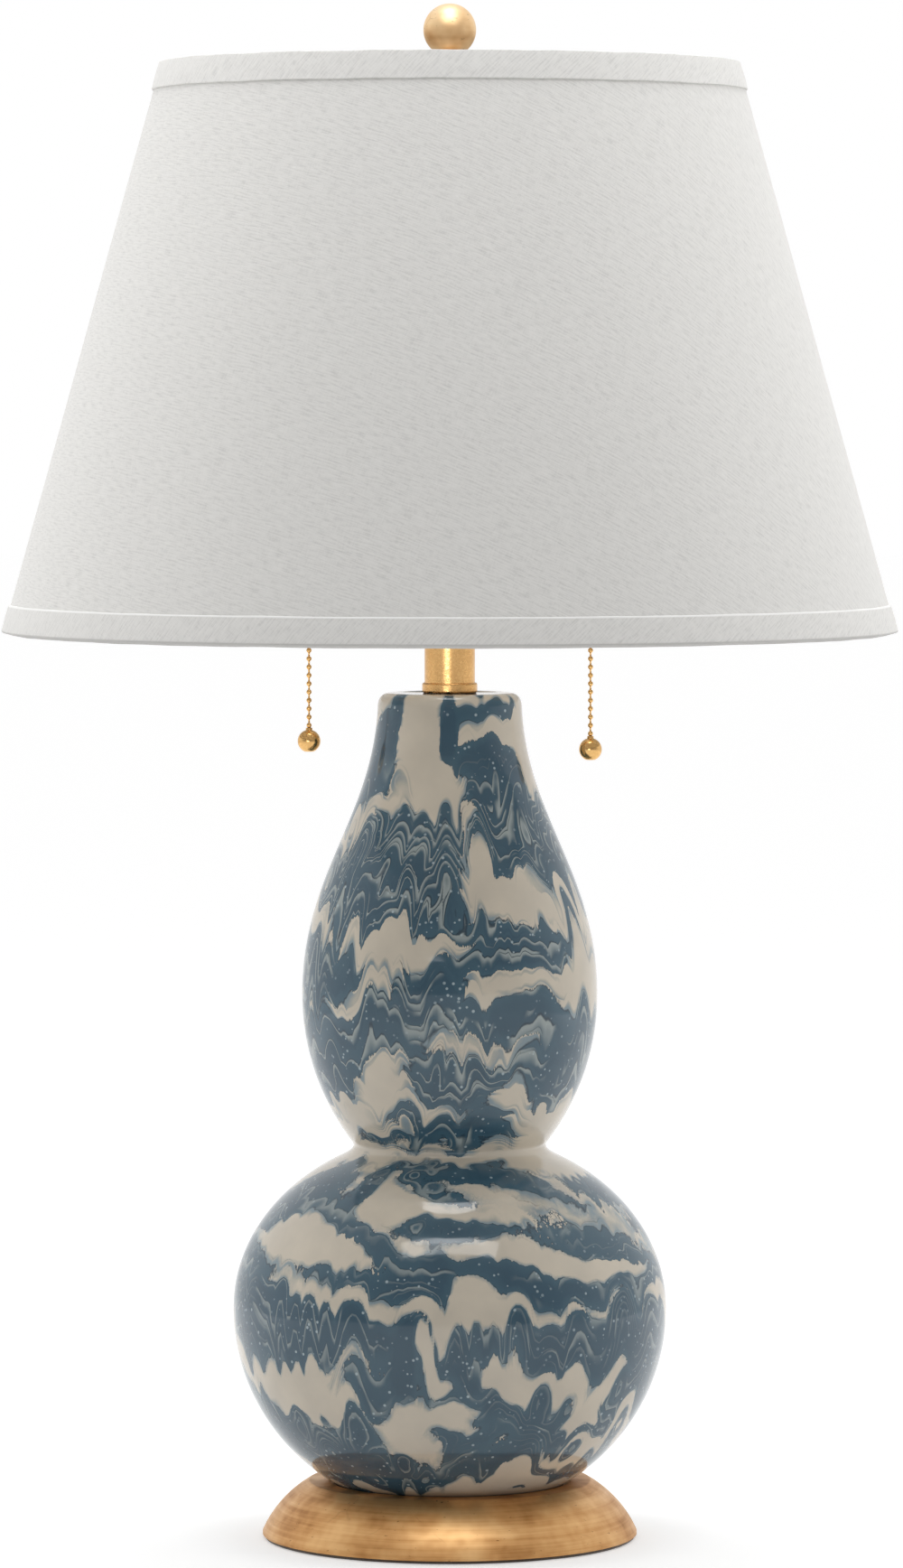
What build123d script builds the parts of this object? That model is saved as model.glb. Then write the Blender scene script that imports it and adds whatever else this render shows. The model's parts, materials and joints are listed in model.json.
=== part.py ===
from build123d import *

import math
import os

os.makedirs("parts", exist_ok=True)

# A two-light table lamp, in millimetres: origin at the middle of the underside, +Z up, front towards -Y.
# The stack from the table up is foot, gourd, neck, cluster, riser, shade and finial.

# Clearances
fixed_gap = 0.05  # all round a piece that stays put in its hole
running_gap = 0.08  # all round a piece that turns or slides in its hole
rest_gap = 0.2  # between flat faces that move against each other

# Foot
felt_thickness = 1.5
felt_margin = 1.0
foot_radius = 85.8
foot_edge = 1.2
foot_height = 24.5
foot_top_radius = 64.5
foot_bulge = 2.5
foot_lip_round = 1.2
hollow_radius = 60.0
hollow_depth = 13.0
seat_depth = 1.8
seat_rim = 0.9
gasket_thickness = 1.0
gasket_width = 24.0

# Cord bushing in the back of the foot
cord_height = 9.2
cord_bore_radius = 3.2
bushing_wall = 1.1
bushing_flange_radius = 5.3
bushing_flange = 1.8
bushing_recess = 7.0

# Threaded pipe and its hardware
pipe_radius = 5.0
pipe_bore_radius = 3.3
pipe_tail = 1.5
washer_radius = 17.0
washer_thickness = 2.0
lock_washer_radius = 9.0
lock_washer_thickness = 1.4
nut_radius = 9.4
nut_thickness = 5.0
hub_nut_thickness = 4.0

# Gourd body: a lower bulb of two half ellipses, and an upper bulb that flows into a neck
gourd_height = 361.8
gourd_wall = 6.0
gourd_hole_radius = 8.0
lower_bulb_height = 79.8
lower_bulb_radius = 99.3
lower_bulb_rise = 81.0
lower_bulb_drop = 94.5
upper_bulb_height = 224.0
upper_bulb_radius = 67.5
upper_bulb_round = 111.0
shoulder_reach = 58.0
throat_reach = 56.0
neck_radius = 32.8
neck_round = 5.0
waist_round = 4.0

# Brass neck
collar_radius = 12.6
collar_height = 4.6
spigot_height = 3.0
tube_radius = 11.5
tube_wall = 0.9
tube_length = 48.4

# Two-light cluster
hub_radius = 19.0
hub_wall = 2.5
hub_rise = 22.0
hub_floor = 9.0
hub_collar_height = 4.0
hub_top = 14.0
hub_flat = 21.0
hub_boss_radius = 8.0
cap_flange = 2.2
cap_overhang = 1.2
cap_dome_height = 6.0
cap_boss_radius = 6.5
cap_boss_height = 4.0

# Arms and pull-chain sockets
chain_offset = 64.2
bell_station = 28.0
nipple_radius = 5.0
nipple_bore_radius = 3.2
nipple_reach = 6.0
sleeve_radius = 6.4
sleeve_bead = 0.9
sleeve_bead_width = 4.0
socket_cap_radius = 17.0
socket_cap_wall = 0.8
socket_cap_base = 9.0
socket_cap_dome = 9.0
socket_cap_length = 18.0
shell_overlap = 6.0
shell_wall = 0.6
shell_bead = 0.9
socket_length = 62.0
liner_wall = 0.6
body_start = 8.0
body_length = 29.0
body_gap = 0.3
screw_shell_wall = 0.5
screw_shell_length = 23.0
screw_shell_hole = 6.0
contact_radius = 4.0
contact_thickness = 1.0
contact_height = 3.6

# Switch drum inside each socket
drum_pitch_radius = 6.0
drum_rise = 2.0
drum_groove = 3.0
drum_cheek = 1.0
drum_cheek_radius = 6.6
tooth_count = 8
tooth_depth = 1.2
drum_pin_radius = 1.2
drum_pin_length = 18.0
pocket_gap = 0.7

# Bell that guides each chain
bell_length = 10.0
bell_stem_radius = 4.0
bell_flange_radius = 5.8
bell_flange = 1.6
bell_throat_radius = 3.8
bell_bore_radius = 2.2
bell_lip_radius = 6.0
bell_lip = 0.9

# Bead chains and their ball ends
bead_radius = 1.2
bead_pitch = 3.8
link_radius = 0.42
bead_sides = 8
chain_gap = 0.15
pivot_drop = 3.0
left_bead_count = 16
right_bead_count = 17
ball_radius = 5.25
ball_drop = 7.2
ball_flat_radius = 2.2
ball_collar_radius = 1.5
ball_collar_height = 0.9
ball_hole_depth = 2.0

# Bulbs
bulb_thread_radius = 13.0
bulb_cap_length = 25.0
bulb_cap_wall = 0.5
bulb_tip_radius = 4.0
bulb_tip_height = 1.2
bulb_cone_height = 4.0
bulb_neck_radius = 11.9
bulb_neck_inset = 8.0
bulb_neck_length = 12.0
bulb_globe_radius = 24.0
bulb_length = 80.0
bulb_wall = 0.9
bulb_neck_angle = 40.0

# Riser, seat and finial
riser_radius = 3.9
riser_length = 175.7
stud_radius = 3.175
stud_length = 7.4
seat_radius = 11.0
seat_height = 6.0
seat_waist = 3.0
ferrule_height = 14.8
ferrule_radius = 8.0
ferrule_flange = 2.0
ferrule_neck_radius = 4.9
ferrule_cup_radius = 6.4
ferrule_cup = 2.0
finial_ball_radius = 12.0
finial_flat_radius = 4.0

# Shade
shade_height = 256.2
shade_bottom_radius = 203.0
shade_top_radius = 131.2
linen_thickness = 0.6
panel_thickness = 0.8
trim_thickness = 1.1
trim_width = 12.0
trim_tuck = 4.5
ring_radius = 1.4
spider_drop = 10.0
spider_hub_rim = 2.5
spider_hub_thickness = 1.6
spoke_radius = 1.5
spoke_count = 3
spoke_rise_run = 16.0
spoke_bend = 12.0

# Heights of the stack
foot_bottom_z = felt_thickness
foot_top_z = foot_bottom_z + foot_height
hollow_top_z = foot_bottom_z + hollow_depth
seat_z = foot_top_z - seat_depth
gourd_bottom_z = seat_z + gasket_thickness
gourd_top_z = gourd_bottom_z + gourd_height
lower_bulb_z = gourd_bottom_z + lower_bulb_height
upper_bulb_z = gourd_bottom_z + upper_bulb_height
tube_bottom_z = gourd_top_z + collar_height
hub_bottom_z = tube_bottom_z + tube_length
hub_z = hub_bottom_z + hub_rise
hub_floor_z = hub_bottom_z + hub_floor
hub_top_z = hub_z + hub_top
riser_bottom_z = hub_top_z + cap_flange
seat_bottom_z = riser_bottom_z + riser_length
spider_z = seat_bottom_z + seat_height + rest_gap
ferrule_z = spider_z + spider_hub_thickness + rest_gap
shade_top_z = spider_z + spider_hub_thickness / 2 + spider_drop + ring_radius
shade_bottom_z = shade_top_z - shade_height


def save(piece, name):
    piece.part.label = name
    export_step(piece.part, f"parts/{name}.step")


def ring(outer, inner):
    """A flat ring in the current sketch."""
    Circle(outer)
    Circle(inner, mode=Mode.SUBTRACT)


# Felt pad glued under the foot
with BuildPart() as felt_pad:
    with BuildSketch():
        Circle(foot_radius - felt_margin)
    extrude(amount=felt_thickness)
save(felt_pad, "felt_pad")

# Gilded foot: a turned dish with a seat for the gourd, hollow underneath
cord_z = foot_bottom_z + cord_height
cord_seat_y = foot_radius - bushing_recess
bushing_radius = cord_bore_radius + bushing_wall
gourd_foot_slope = (lower_bulb_z - foot_top_z) / lower_bulb_drop
gourd_foot_radius = lower_bulb_radius * math.sqrt(1 - gourd_foot_slope**2)
gourd_base_slope = (lower_bulb_z - gourd_bottom_z) / lower_bulb_drop
gourd_base_radius = lower_bulb_radius * math.sqrt(1 - gourd_base_slope**2)
cord_seat_plane = Plane(origin=(0, cord_seat_y, cord_z), x_dir=(1, 0, 0), z_dir=(0, 1, 0))

with BuildPart() as base_foot:
    with BuildSketch(Plane.XZ):
        with BuildLine():
            Polyline(
                (foot_top_radius, foot_top_z),
                (0, foot_top_z),
                (0, foot_bottom_z),
                (foot_radius, foot_bottom_z),
                (foot_radius, foot_bottom_z + foot_edge),
            )
            SagittaArc((foot_radius, foot_bottom_z + foot_edge), (foot_top_radius, foot_top_z), -foot_bulge)
        make_face()
    revolve(axis=Axis.Z)
    fillet(base_foot.edges().group_by(Axis.Z)[-1], foot_lip_round)
    with BuildSketch(Plane.XY.offset(foot_top_z)):
        Circle(gourd_foot_radius + seat_rim)
    extrude(amount=-seat_depth, mode=Mode.SUBTRACT)
    with BuildSketch(Plane.XY.offset(foot_bottom_z)):
        Circle(hollow_radius)
    extrude(amount=hollow_depth, mode=Mode.SUBTRACT)
    with BuildSketch(Plane.XY.offset(foot_bottom_z)):
        Circle(pipe_radius + fixed_gap)
    extrude(amount=foot_height, mode=Mode.SUBTRACT)
    with BuildSketch(cord_seat_plane):
        Circle(bushing_radius + fixed_gap)
    extrude(amount=-cord_seat_y, mode=Mode.SUBTRACT)
    with BuildSketch(cord_seat_plane):
        Circle(bushing_flange_radius + fixed_gap)
    extrude(amount=bushing_recess, mode=Mode.SUBTRACT)
save(base_foot, "base_foot")

# Bushing that lines the cord hole, with its flange in the recess
bushing_length = cord_seat_y - hollow_radius
with BuildPart() as cord_bushing:
    with BuildSketch(cord_seat_plane):
        Circle(bushing_flange_radius)
    extrude(amount=bushing_flange)
    with BuildSketch(cord_seat_plane):
        Circle(bushing_radius)
    extrude(amount=-bushing_length)
    fillet(cord_bushing.edges().group_by(Axis.Y)[-1], bushing_flange / 3)
    with BuildSketch(cord_seat_plane.offset(bushing_flange)):
        Circle(cord_bore_radius)
    extrude(amount=-bushing_flange - bushing_length, mode=Mode.SUBTRACT)
save(cord_bushing, "cord_bushing")

# Washer, lock washer and nut that pull the stack together from below
with BuildPart() as base_washer:
    with BuildSketch(Plane.XY.offset(hollow_top_z)):
        ring(washer_radius, pipe_radius + fixed_gap)
    extrude(amount=-washer_thickness)
save(base_washer, "base_washer")

lock_washer_z = hollow_top_z - washer_thickness
with BuildPart() as base_lock_washer:
    with BuildSketch(Plane.XY.offset(lock_washer_z)):
        ring(lock_washer_radius, pipe_radius + fixed_gap)
    extrude(amount=-lock_washer_thickness)
save(base_lock_washer, "base_lock_washer")

base_nut_z = lock_washer_z - lock_washer_thickness
with BuildPart() as base_nut:
    with BuildSketch(Plane.XY.offset(base_nut_z)):
        RegularPolygon(nut_radius, 6)
        Circle(pipe_radius + fixed_gap, mode=Mode.SUBTRACT)
    extrude(amount=-nut_thickness)
save(base_nut, "base_nut")

# Threaded pipe from the nut in the foot to the nut in the cluster
pipe_bottom_z = base_nut_z - nut_thickness - pipe_tail
pipe_top_z = hub_floor_z + hub_nut_thickness + pipe_tail
with BuildPart() as lamp_pipe:
    with BuildSketch(Plane.XY.offset(pipe_bottom_z)):
        ring(pipe_radius, pipe_bore_radius)
    extrude(amount=pipe_top_z - pipe_bottom_z)
save(lamp_pipe, "lamp_pipe")

# Gasket between the foot and the gourd
with BuildPart() as seat_gasket:
    with BuildSketch(Plane.XY.offset(seat_z)):
        ring(gourd_base_radius - seat_rim, gourd_base_radius - gasket_width)
    extrude(amount=gasket_thickness)
save(seat_gasket, "seat_gasket")


def gourd_section(inset):
    """Half section of the gourd, drawn in by inset on every side."""
    bottom_z = gourd_bottom_z + inset
    top_z = gourd_top_z - inset
    lower_radius = lower_bulb_radius - inset
    upper_radius = upper_bulb_radius - inset
    upper_round = upper_bulb_round - inset
    upper_centre = upper_bulb_radius - upper_bulb_round
    upper_sweep = math.degrees(math.acos(-upper_centre / upper_round))
    upper_end_z = upper_bulb_z - upper_round * math.sin(math.radians(upper_sweep))
    with BuildSketch(Plane.XZ) as section:
        with BuildLine():
            EllipticalCenterArc((0, lower_bulb_z), lower_radius, lower_bulb_drop - inset, -90, arc_size=90)
            EllipticalCenterArc((0, lower_bulb_z), lower_radius, lower_bulb_rise - inset, 0, arc_size=90)
            Line((0, lower_bulb_z + lower_bulb_rise - inset), (0, lower_bulb_z - lower_bulb_drop + inset))
        make_face()
        with BuildLine():
            CenterArc((upper_centre, upper_bulb_z), upper_round, -upper_sweep, arc_size=upper_sweep)
            Bezier(
                (upper_radius, upper_bulb_z),
                (upper_radius, upper_bulb_z + shoulder_reach),
                (neck_radius - inset, top_z - throat_reach),
                (neck_radius - inset, top_z),
            )
            Line((neck_radius - inset, top_z), (0, top_z))
            Line((0, top_z), (0, upper_end_z))
        make_face()
        with BuildLine():
            Polyline(
                (0, lower_bulb_z - lower_bulb_drop),
                (lower_bulb_radius, lower_bulb_z - lower_bulb_drop),
                (lower_bulb_radius, bottom_z),
                (0, bottom_z),
                close=True,
            )
        make_face(mode=Mode.SUBTRACT)
        sides = vertices().filter_by(lambda v: v.X > 0 and v.Y > lower_bulb_z)
        waist = sides.sort_by(Axis.Y)[0]
        fillet(waist, waist_round + inset)
    return section.sketch


# Gourd: a slip-cast shell with one hole at each end for the pipe
with BuildPart() as gourd_body:
    revolve(gourd_section(0).faces(), axis=Axis.Z)
    fillet(gourd_body.edges().group_by(Axis.Z)[-1], neck_round)
    revolve(gourd_section(gourd_wall).faces(), axis=Axis.Z, mode=Mode.SUBTRACT)
    with BuildSketch(Plane.XY.offset(gourd_bottom_z)):
        Circle(gourd_hole_radius)
    extrude(amount=gourd_height, mode=Mode.SUBTRACT)
save(gourd_body, "gourd_body")

# Thin collar on the gourd's mouth, with a spigot inside the neck tube
spigot_radius = tube_radius - tube_wall - fixed_gap
with BuildPart() as neck_collar:
    with BuildSketch(Plane.XY.offset(gourd_top_z)):
        Circle(collar_radius)
    extrude(amount=collar_height)
    fillet(neck_collar.edges().filter_by(GeomType.CIRCLE), collar_height / 5)
    with BuildSketch(Plane.XY.offset(tube_bottom_z)):
        Circle(spigot_radius)
    extrude(amount=spigot_height)
    with BuildSketch(Plane.XY.offset(gourd_top_z)):
        Circle(pipe_radius + fixed_gap)
    extrude(amount=collar_height + spigot_height, mode=Mode.SUBTRACT)
save(neck_collar, "neck_collar")

# Brass tube that covers the pipe between the collar and the cluster
with BuildPart() as neck_tube:
    with BuildSketch(Plane.XY.offset(tube_bottom_z)):
        ring(tube_radius, tube_radius - tube_wall)
    extrude(amount=tube_length)
save(neck_tube, "neck_tube")

# Cluster body: a hollow ball on a collar, with a boss for each arm
hub_neck_radius = spigot_radius
with BuildPart() as cluster_body:
    with BuildSketch(Plane.XZ):
        with Locations((0, hub_z)):
            Circle(hub_radius)
        with Locations((0, (hub_bottom_z - spigot_height + hub_z) / 2)):
            Rectangle(2 * hub_neck_radius, hub_z - hub_bottom_z + spigot_height)
        with Locations((0, hub_bottom_z + hub_collar_height / 2)):
            Rectangle(2 * collar_radius, hub_collar_height)
        with Locations((0, hub_top_z + hub_radius / 2)):
            Rectangle(2 * hub_radius, hub_radius, mode=Mode.SUBTRACT)
        with Locations((-hub_radius / 2, hub_z)):
            Rectangle(hub_radius, 4 * hub_radius, mode=Mode.SUBTRACT)
    revolve(axis=Axis.Z)
    for way in (-1, 1):
        with BuildSketch(Plane(origin=(0, 0, hub_z), x_dir=(0, 1, 0), z_dir=(way, 0, 0))):
            Circle(hub_boss_radius)
        extrude(amount=hub_flat)
    with BuildSketch(Plane.XZ):
        with Locations((0, hub_z)):
            Circle(hub_radius - hub_wall)
        with Locations((0, hub_floor_z - hub_radius)):
            Rectangle(2 * hub_radius, 2 * hub_radius, mode=Mode.SUBTRACT)
        with Locations((-hub_radius / 2, hub_z)):
            Rectangle(hub_radius, 4 * hub_radius, mode=Mode.SUBTRACT)
    revolve(axis=Axis.Z, mode=Mode.SUBTRACT)
    with BuildSketch(Plane.XY.offset(hub_bottom_z - spigot_height)):
        Circle(pipe_radius + fixed_gap)
    extrude(amount=hub_rise, mode=Mode.SUBTRACT)
    with BuildSketch(Plane.YZ.offset(-hub_flat)):
        with Locations((0, hub_z)):
            Circle(nipple_radius + fixed_gap)
    extrude(amount=2 * hub_flat, mode=Mode.SUBTRACT)
save(cluster_body, "cluster_body")

# Lock nut on the pipe's upper end, inside the cluster
with BuildPart() as cluster_nut:
    with BuildSketch(Plane.XY.offset(hub_floor_z)):
        RegularPolygon(nut_radius, 6)
        Circle(pipe_radius + fixed_gap, mode=Mode.SUBTRACT)
    extrude(amount=hub_nut_thickness)
save(cluster_nut, "cluster_nut")

# Domed cap on the cluster, which carries the riser
cap_opening_radius = math.sqrt((hub_radius - hub_wall) ** 2 - hub_top**2)
cap_radius = math.sqrt(hub_radius**2 - hub_top**2) + cap_overhang
cap_boss_z = hub_top_z + cap_flange + cap_dome_height
with BuildPart() as cluster_cap:
    with BuildSketch(Plane.XZ):
        with BuildLine():
            Polyline(
                (cap_boss_radius, cap_boss_z),
                (cap_boss_radius, cap_boss_z + cap_boss_height),
                (0, cap_boss_z + cap_boss_height),
                (0, hub_top_z - hub_wall),
                (cap_opening_radius - fixed_gap, hub_top_z - hub_wall),
                (cap_opening_radius - fixed_gap, hub_top_z),
                (cap_radius, hub_top_z),
                (cap_radius, hub_top_z + cap_flange),
            )
            EllipticalCenterArc(
                (cap_boss_radius, hub_top_z + cap_flange),
                cap_radius - cap_boss_radius,
                cap_dome_height,
                0,
                arc_size=90,
            )
        make_face()
    revolve(axis=Axis.Z)
    with BuildSketch(Plane.XY.offset(riser_bottom_z)):
        Circle(riser_radius + fixed_gap)
    extrude(amount=cap_dome_height + cap_boss_height, mode=Mode.SUBTRACT)
save(cluster_cap, "cluster_cap")

# Riser rod, stepped down to the stud that takes the shade and the finial
stud_top_z = ferrule_z + stud_length
with BuildPart() as riser_rod:
    with BuildSketch(Plane.XY.offset(riser_bottom_z)):
        Circle(riser_radius)
    extrude(amount=riser_length)
    with BuildSketch(Plane.XY.offset(seat_bottom_z)):
        Circle(stud_radius)
    extrude(amount=stud_top_z - seat_bottom_z)
    chamfer(riser_rod.edges().group_by(Axis.Z)[-1], stud_radius / 5)
save(riser_rod, "riser_rod")

# Turned seat that the shade's hub rests on
with BuildPart() as shade_seat:
    with BuildSketch(Plane.XZ):
        with BuildLine():
            Polyline(
                (riser_radius + seat_waist, seat_bottom_z),
                (stud_radius + fixed_gap, seat_bottom_z),
                (stud_radius + fixed_gap, seat_bottom_z + seat_height),
                (seat_radius, seat_bottom_z + seat_height),
                (seat_radius, seat_bottom_z + seat_height / 2),
            )
            RadiusArc(
                (seat_radius, seat_bottom_z + seat_height / 2),
                (riser_radius + seat_waist, seat_bottom_z),
                -seat_height,
            )
        make_face()
    revolve(axis=Axis.Z)
save(shade_seat, "shade_seat")

# Sizes shared by the two sockets, as distances from the lamp's axis or from the socket's own axis
socket_start = chain_offset - bell_station
socket_mouth = socket_start + socket_length
shell_radius = socket_cap_radius - socket_cap_wall - fixed_gap
shell_start = socket_start + socket_cap_length - shell_overlap
liner_radius = shell_radius - shell_wall - fixed_gap
body_radius = liner_radius - liner_wall - body_gap
body_end = socket_start + body_start + body_length
screw_shell_radius = bulb_thread_radius + running_gap + screw_shell_wall
contact_top = body_end + contact_height
bulb_start = contact_top + rest_gap
bulb_cap_end = bulb_start + bulb_cap_length
bulb_tip = bulb_start + bulb_length
globe_centre = bulb_tip - bulb_globe_radius
drum_root_radius = drum_pitch_radius - bead_radius - rest_gap
drum_width = drum_groove + 2 * drum_cheek
drum_z = hub_z + drum_rise
drum_offset = chain_offset - drum_pitch_radius
tooth_radius = drum_cheek_radius + tooth_depth
bell_seat_z = hub_z - shell_radius
bell_mouth_z = bell_seat_z - bell_length
bell_top_z = hub_z - body_radius - body_gap
pivot_z = bell_mouth_z - pivot_drop


def bulb_section(inset, plane):
    """Half section of a bulb's glass, drawn in by inset: a globe that flows into a straight neck."""
    neck = bulb_neck_radius - inset
    globe = bulb_globe_radius - inset
    neck_start = bulb_cap_end - bulb_neck_inset + inset
    neck_end = neck_start + bulb_neck_length - inset
    turn = math.radians(bulb_neck_angle)
    join = (globe * math.cos(turn), globe_centre - globe * math.sin(turn))
    with BuildSketch(plane) as section:
        with BuildLine():
            Polyline((0, globe_centre + globe), (0, neck_start), (neck, neck_start), (neck, neck_end))
            Spline((neck, neck_end), join, tangents=[(0, 1), (math.sin(turn), math.cos(turn))])
            CenterArc((0, globe_centre), globe, -bulb_neck_angle, arc_size=90 + bulb_neck_angle)
        make_face()
    return section.sketch


def bead_sections(x, link_top, bead_zs, link_bottom):
    """Sections of a run of beads on links, from link_top down to link_bottom."""
    flank_radius = 0.8 * bead_radius
    flank = math.sqrt(bead_radius**2 - flank_radius**2)
    root = math.sqrt(bead_radius**2 - link_radius**2)
    stations = [(link_top, link_radius)] if link_top > bead_zs[0] + root else []
    for z in bead_zs:
        stations += [(z + root, link_radius), (z + flank, flank_radius), (z, bead_radius)]
        stations += [(z - flank, flank_radius), (z - root, link_radius)]
    if link_bottom < bead_zs[-1] - root:
        stations += [(link_bottom, link_radius)]
    sections = []
    for z, radius in stations:
        with BuildSketch(Plane((x, 0, z))) as section:
            RegularPolygon(radius, bead_sides)
        sections.append(section.sketch.face())
    return sections


# Arms, sockets, switches, chains and bulbs, one set on each side
for name, side, hanging_count in (("left", -1, left_bead_count), ("right", 1, right_bead_count)):
    chain_x = side * chain_offset
    # Section planes: radius and distance along the socket, radius and height along the chain
    socket_plane = Plane(origin=(0, 0, hub_z), x_dir=(0, 0, 1), z_dir=(0, side, 0))
    socket_axis = Axis((0, 0, hub_z), (side, 0, 0))
    chain_plane = Plane(origin=(chain_x, 0, 0), x_dir=(side, 0, 0), z_dir=(0, -side, 0))
    chain_axis = Axis((chain_x, 0, 0), (0, 0, 1))
    bell_plane = Plane((chain_x, 0, hub_z))

    # Nipple through the cluster's boss and the socket's cap
    nipple_start = hub_flat - hub_wall
    nipple_end = socket_start + nipple_reach
    with BuildPart() as arm_nipple:
        nipple_plane = Plane(origin=(side * nipple_start, 0, hub_z), x_dir=(0, 1, 0), z_dir=(side, 0, 0))
        with BuildSketch(nipple_plane):
            ring(nipple_radius, nipple_bore_radius)
        extrude(amount=nipple_end - nipple_start)
    save(arm_nipple, f"{name}_arm_nipple")

    # Turned sleeve with a bead round its middle
    sleeve_middle = (hub_flat + socket_start) / 2
    with BuildPart() as arm_sleeve:
        with BuildSketch(socket_plane):
            with BuildLine():
                Polyline(
                    (sleeve_radius, sleeve_middle + sleeve_bead_width / 2),
                    (sleeve_radius, socket_start),
                    (nipple_radius + fixed_gap, socket_start),
                    (nipple_radius + fixed_gap, hub_flat),
                    (sleeve_radius, hub_flat),
                    (sleeve_radius, sleeve_middle - sleeve_bead_width / 2),
                )
                ThreePointArc(
                    (sleeve_radius, sleeve_middle - sleeve_bead_width / 2),
                    (sleeve_radius + sleeve_bead, sleeve_middle),
                    (sleeve_radius, sleeve_middle + sleeve_bead_width / 2),
                )
            make_face()
        revolve(axis=socket_axis)
    save(arm_sleeve, f"{name}_arm_sleeve")

    # Domed socket cap
    dome_width = socket_cap_radius - socket_cap_base
    dome_end = socket_start + socket_cap_dome
    with BuildPart() as socket_cap:
        with BuildSketch(socket_plane):
            with BuildLine():
                Line((nipple_radius + fixed_gap, socket_start), (socket_cap_base, socket_start))
                EllipticalCenterArc(
                    (socket_cap_base, dome_end),
                    dome_width,
                    socket_cap_dome,
                    -90,
                    arc_size=90,
                )
                Polyline(
                    (socket_cap_radius, dome_end),
                    (socket_cap_radius, socket_start + socket_cap_length),
                    (socket_cap_radius - socket_cap_wall, socket_start + socket_cap_length),
                    (socket_cap_radius - socket_cap_wall, dome_end),
                )
                EllipticalCenterArc(
                    (socket_cap_base, dome_end),
                    dome_width - socket_cap_wall,
                    socket_cap_dome - socket_cap_wall,
                    0,
                    arc_size=-90,
                )
                Polyline(
                    (socket_cap_base, socket_start + socket_cap_wall),
                    (nipple_radius + fixed_gap, socket_start + socket_cap_wall),
                    (nipple_radius + fixed_gap, socket_start),
                )
            make_face()
        revolve(axis=socket_axis)
    save(socket_cap, f"{name}_socket_cap")

    # Brass shell with a rolled bead at its mouth and a hole for the chain bell
    with BuildPart() as socket_shell:
        with BuildSketch(socket_plane):
            with Locations((shell_radius - shell_wall / 2, (shell_start + socket_mouth) / 2)):
                Rectangle(shell_wall, socket_mouth - shell_start)
            with Locations((shell_radius, socket_mouth - shell_bead)):
                Circle(shell_bead)
            with Locations((shell_radius - shell_wall - shell_bead, socket_mouth - shell_bead)):
                Rectangle(2 * shell_bead, 2 * shell_bead, mode=Mode.SUBTRACT)
        revolve(axis=socket_axis)
        with BuildSketch(bell_plane):
            Circle(bell_stem_radius + fixed_gap)
        extrude(amount=-socket_cap_radius, mode=Mode.SUBTRACT)
    save(socket_shell, f"{name}_socket_shell")

    # Insulating sleeve inside the shell
    with BuildPart() as socket_liner:
        liner_plane = Plane(origin=(side * shell_start, 0, hub_z), x_dir=(0, 1, 0), z_dir=(side, 0, 0))
        with BuildSketch(liner_plane):
            ring(liner_radius, liner_radius - liner_wall)
        extrude(amount=socket_mouth - 2 * shell_bead - shell_start)
        with BuildSketch(bell_plane):
            Circle(bell_stem_radius + fixed_gap)
        extrude(amount=-socket_cap_radius, mode=Mode.SUBTRACT)
    save(socket_liner, f"{name}_socket_liner")

    # Moulded switch body with a pocket for the drum, open below for the chain
    pocket_inner = drum_offset - tooth_radius - pocket_gap
    pocket_outer = chain_offset + bell_bore_radius
    pocket_top_z = drum_z + tooth_radius + pocket_gap
    pocket_plane = Plane((side * (pocket_inner + pocket_outer) / 2, 0, pocket_top_z))
    with BuildPart() as socket_body:
        body_plane = Plane(origin=(side * body_end, 0, hub_z), x_dir=(0, 1, 0), z_dir=(side, 0, 0))
        with BuildSketch(body_plane):
            Circle(body_radius)
        extrude(amount=-body_length)
        with BuildSketch(pocket_plane):
            Rectangle(pocket_outer - pocket_inner, drum_width + 2 * pocket_gap)
        extrude(amount=-pocket_top_z + hub_z - body_radius, mode=Mode.SUBTRACT)
        with BuildSketch(Plane.XZ):
            with Locations((side * drum_offset, drum_z)):
                Circle(drum_pin_radius + fixed_gap)
        extrude(amount=drum_pin_length / 2, both=True, mode=Mode.SUBTRACT)
    save(socket_body, f"{name}_socket_body")

    # Pin that the drum turns on
    with BuildPart() as drum_pin:
        with BuildSketch(Plane.XZ):
            with Locations((side * drum_offset, drum_z)):
                Circle(drum_pin_radius)
        extrude(amount=drum_pin_length / 2, both=True)
    save(drum_pin, f"{name}_drum_pin")

    # Switch drum: a grooved wheel for the chain between a plain cheek and a ratchet cheek
    drum_plane = Plane(
        origin=(side * drum_offset, -drum_width / 2, drum_z), x_dir=(side, 0, 0), z_dir=(0, 1, 0)
    )
    with BuildPart() as switch_drum:
        with BuildSketch(drum_plane):
            Circle(drum_cheek_radius)
        extrude(amount=drum_cheek)
        with BuildSketch(drum_plane.offset(drum_cheek)):
            Circle(drum_root_radius)
        extrude(amount=drum_groove)
        with BuildSketch(drum_plane.offset(drum_cheek + drum_groove)):
            with BuildLine():
                corners = []
                for tooth in range(tooth_count):
                    angle = 2 * math.pi * tooth / tooth_count
                    corners.append((tooth_radius * math.cos(angle), tooth_radius * math.sin(angle)))
                    corners.append((drum_root_radius * math.cos(angle), drum_root_radius * math.sin(angle)))
                Polyline(corners, close=True)
            make_face()
        extrude(amount=drum_cheek)
        with BuildSketch(drum_plane):
            Circle(drum_pin_radius + running_gap)
        extrude(amount=drum_width, mode=Mode.SUBTRACT)
    save(switch_drum, f"{name}_switch_drum")

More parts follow.
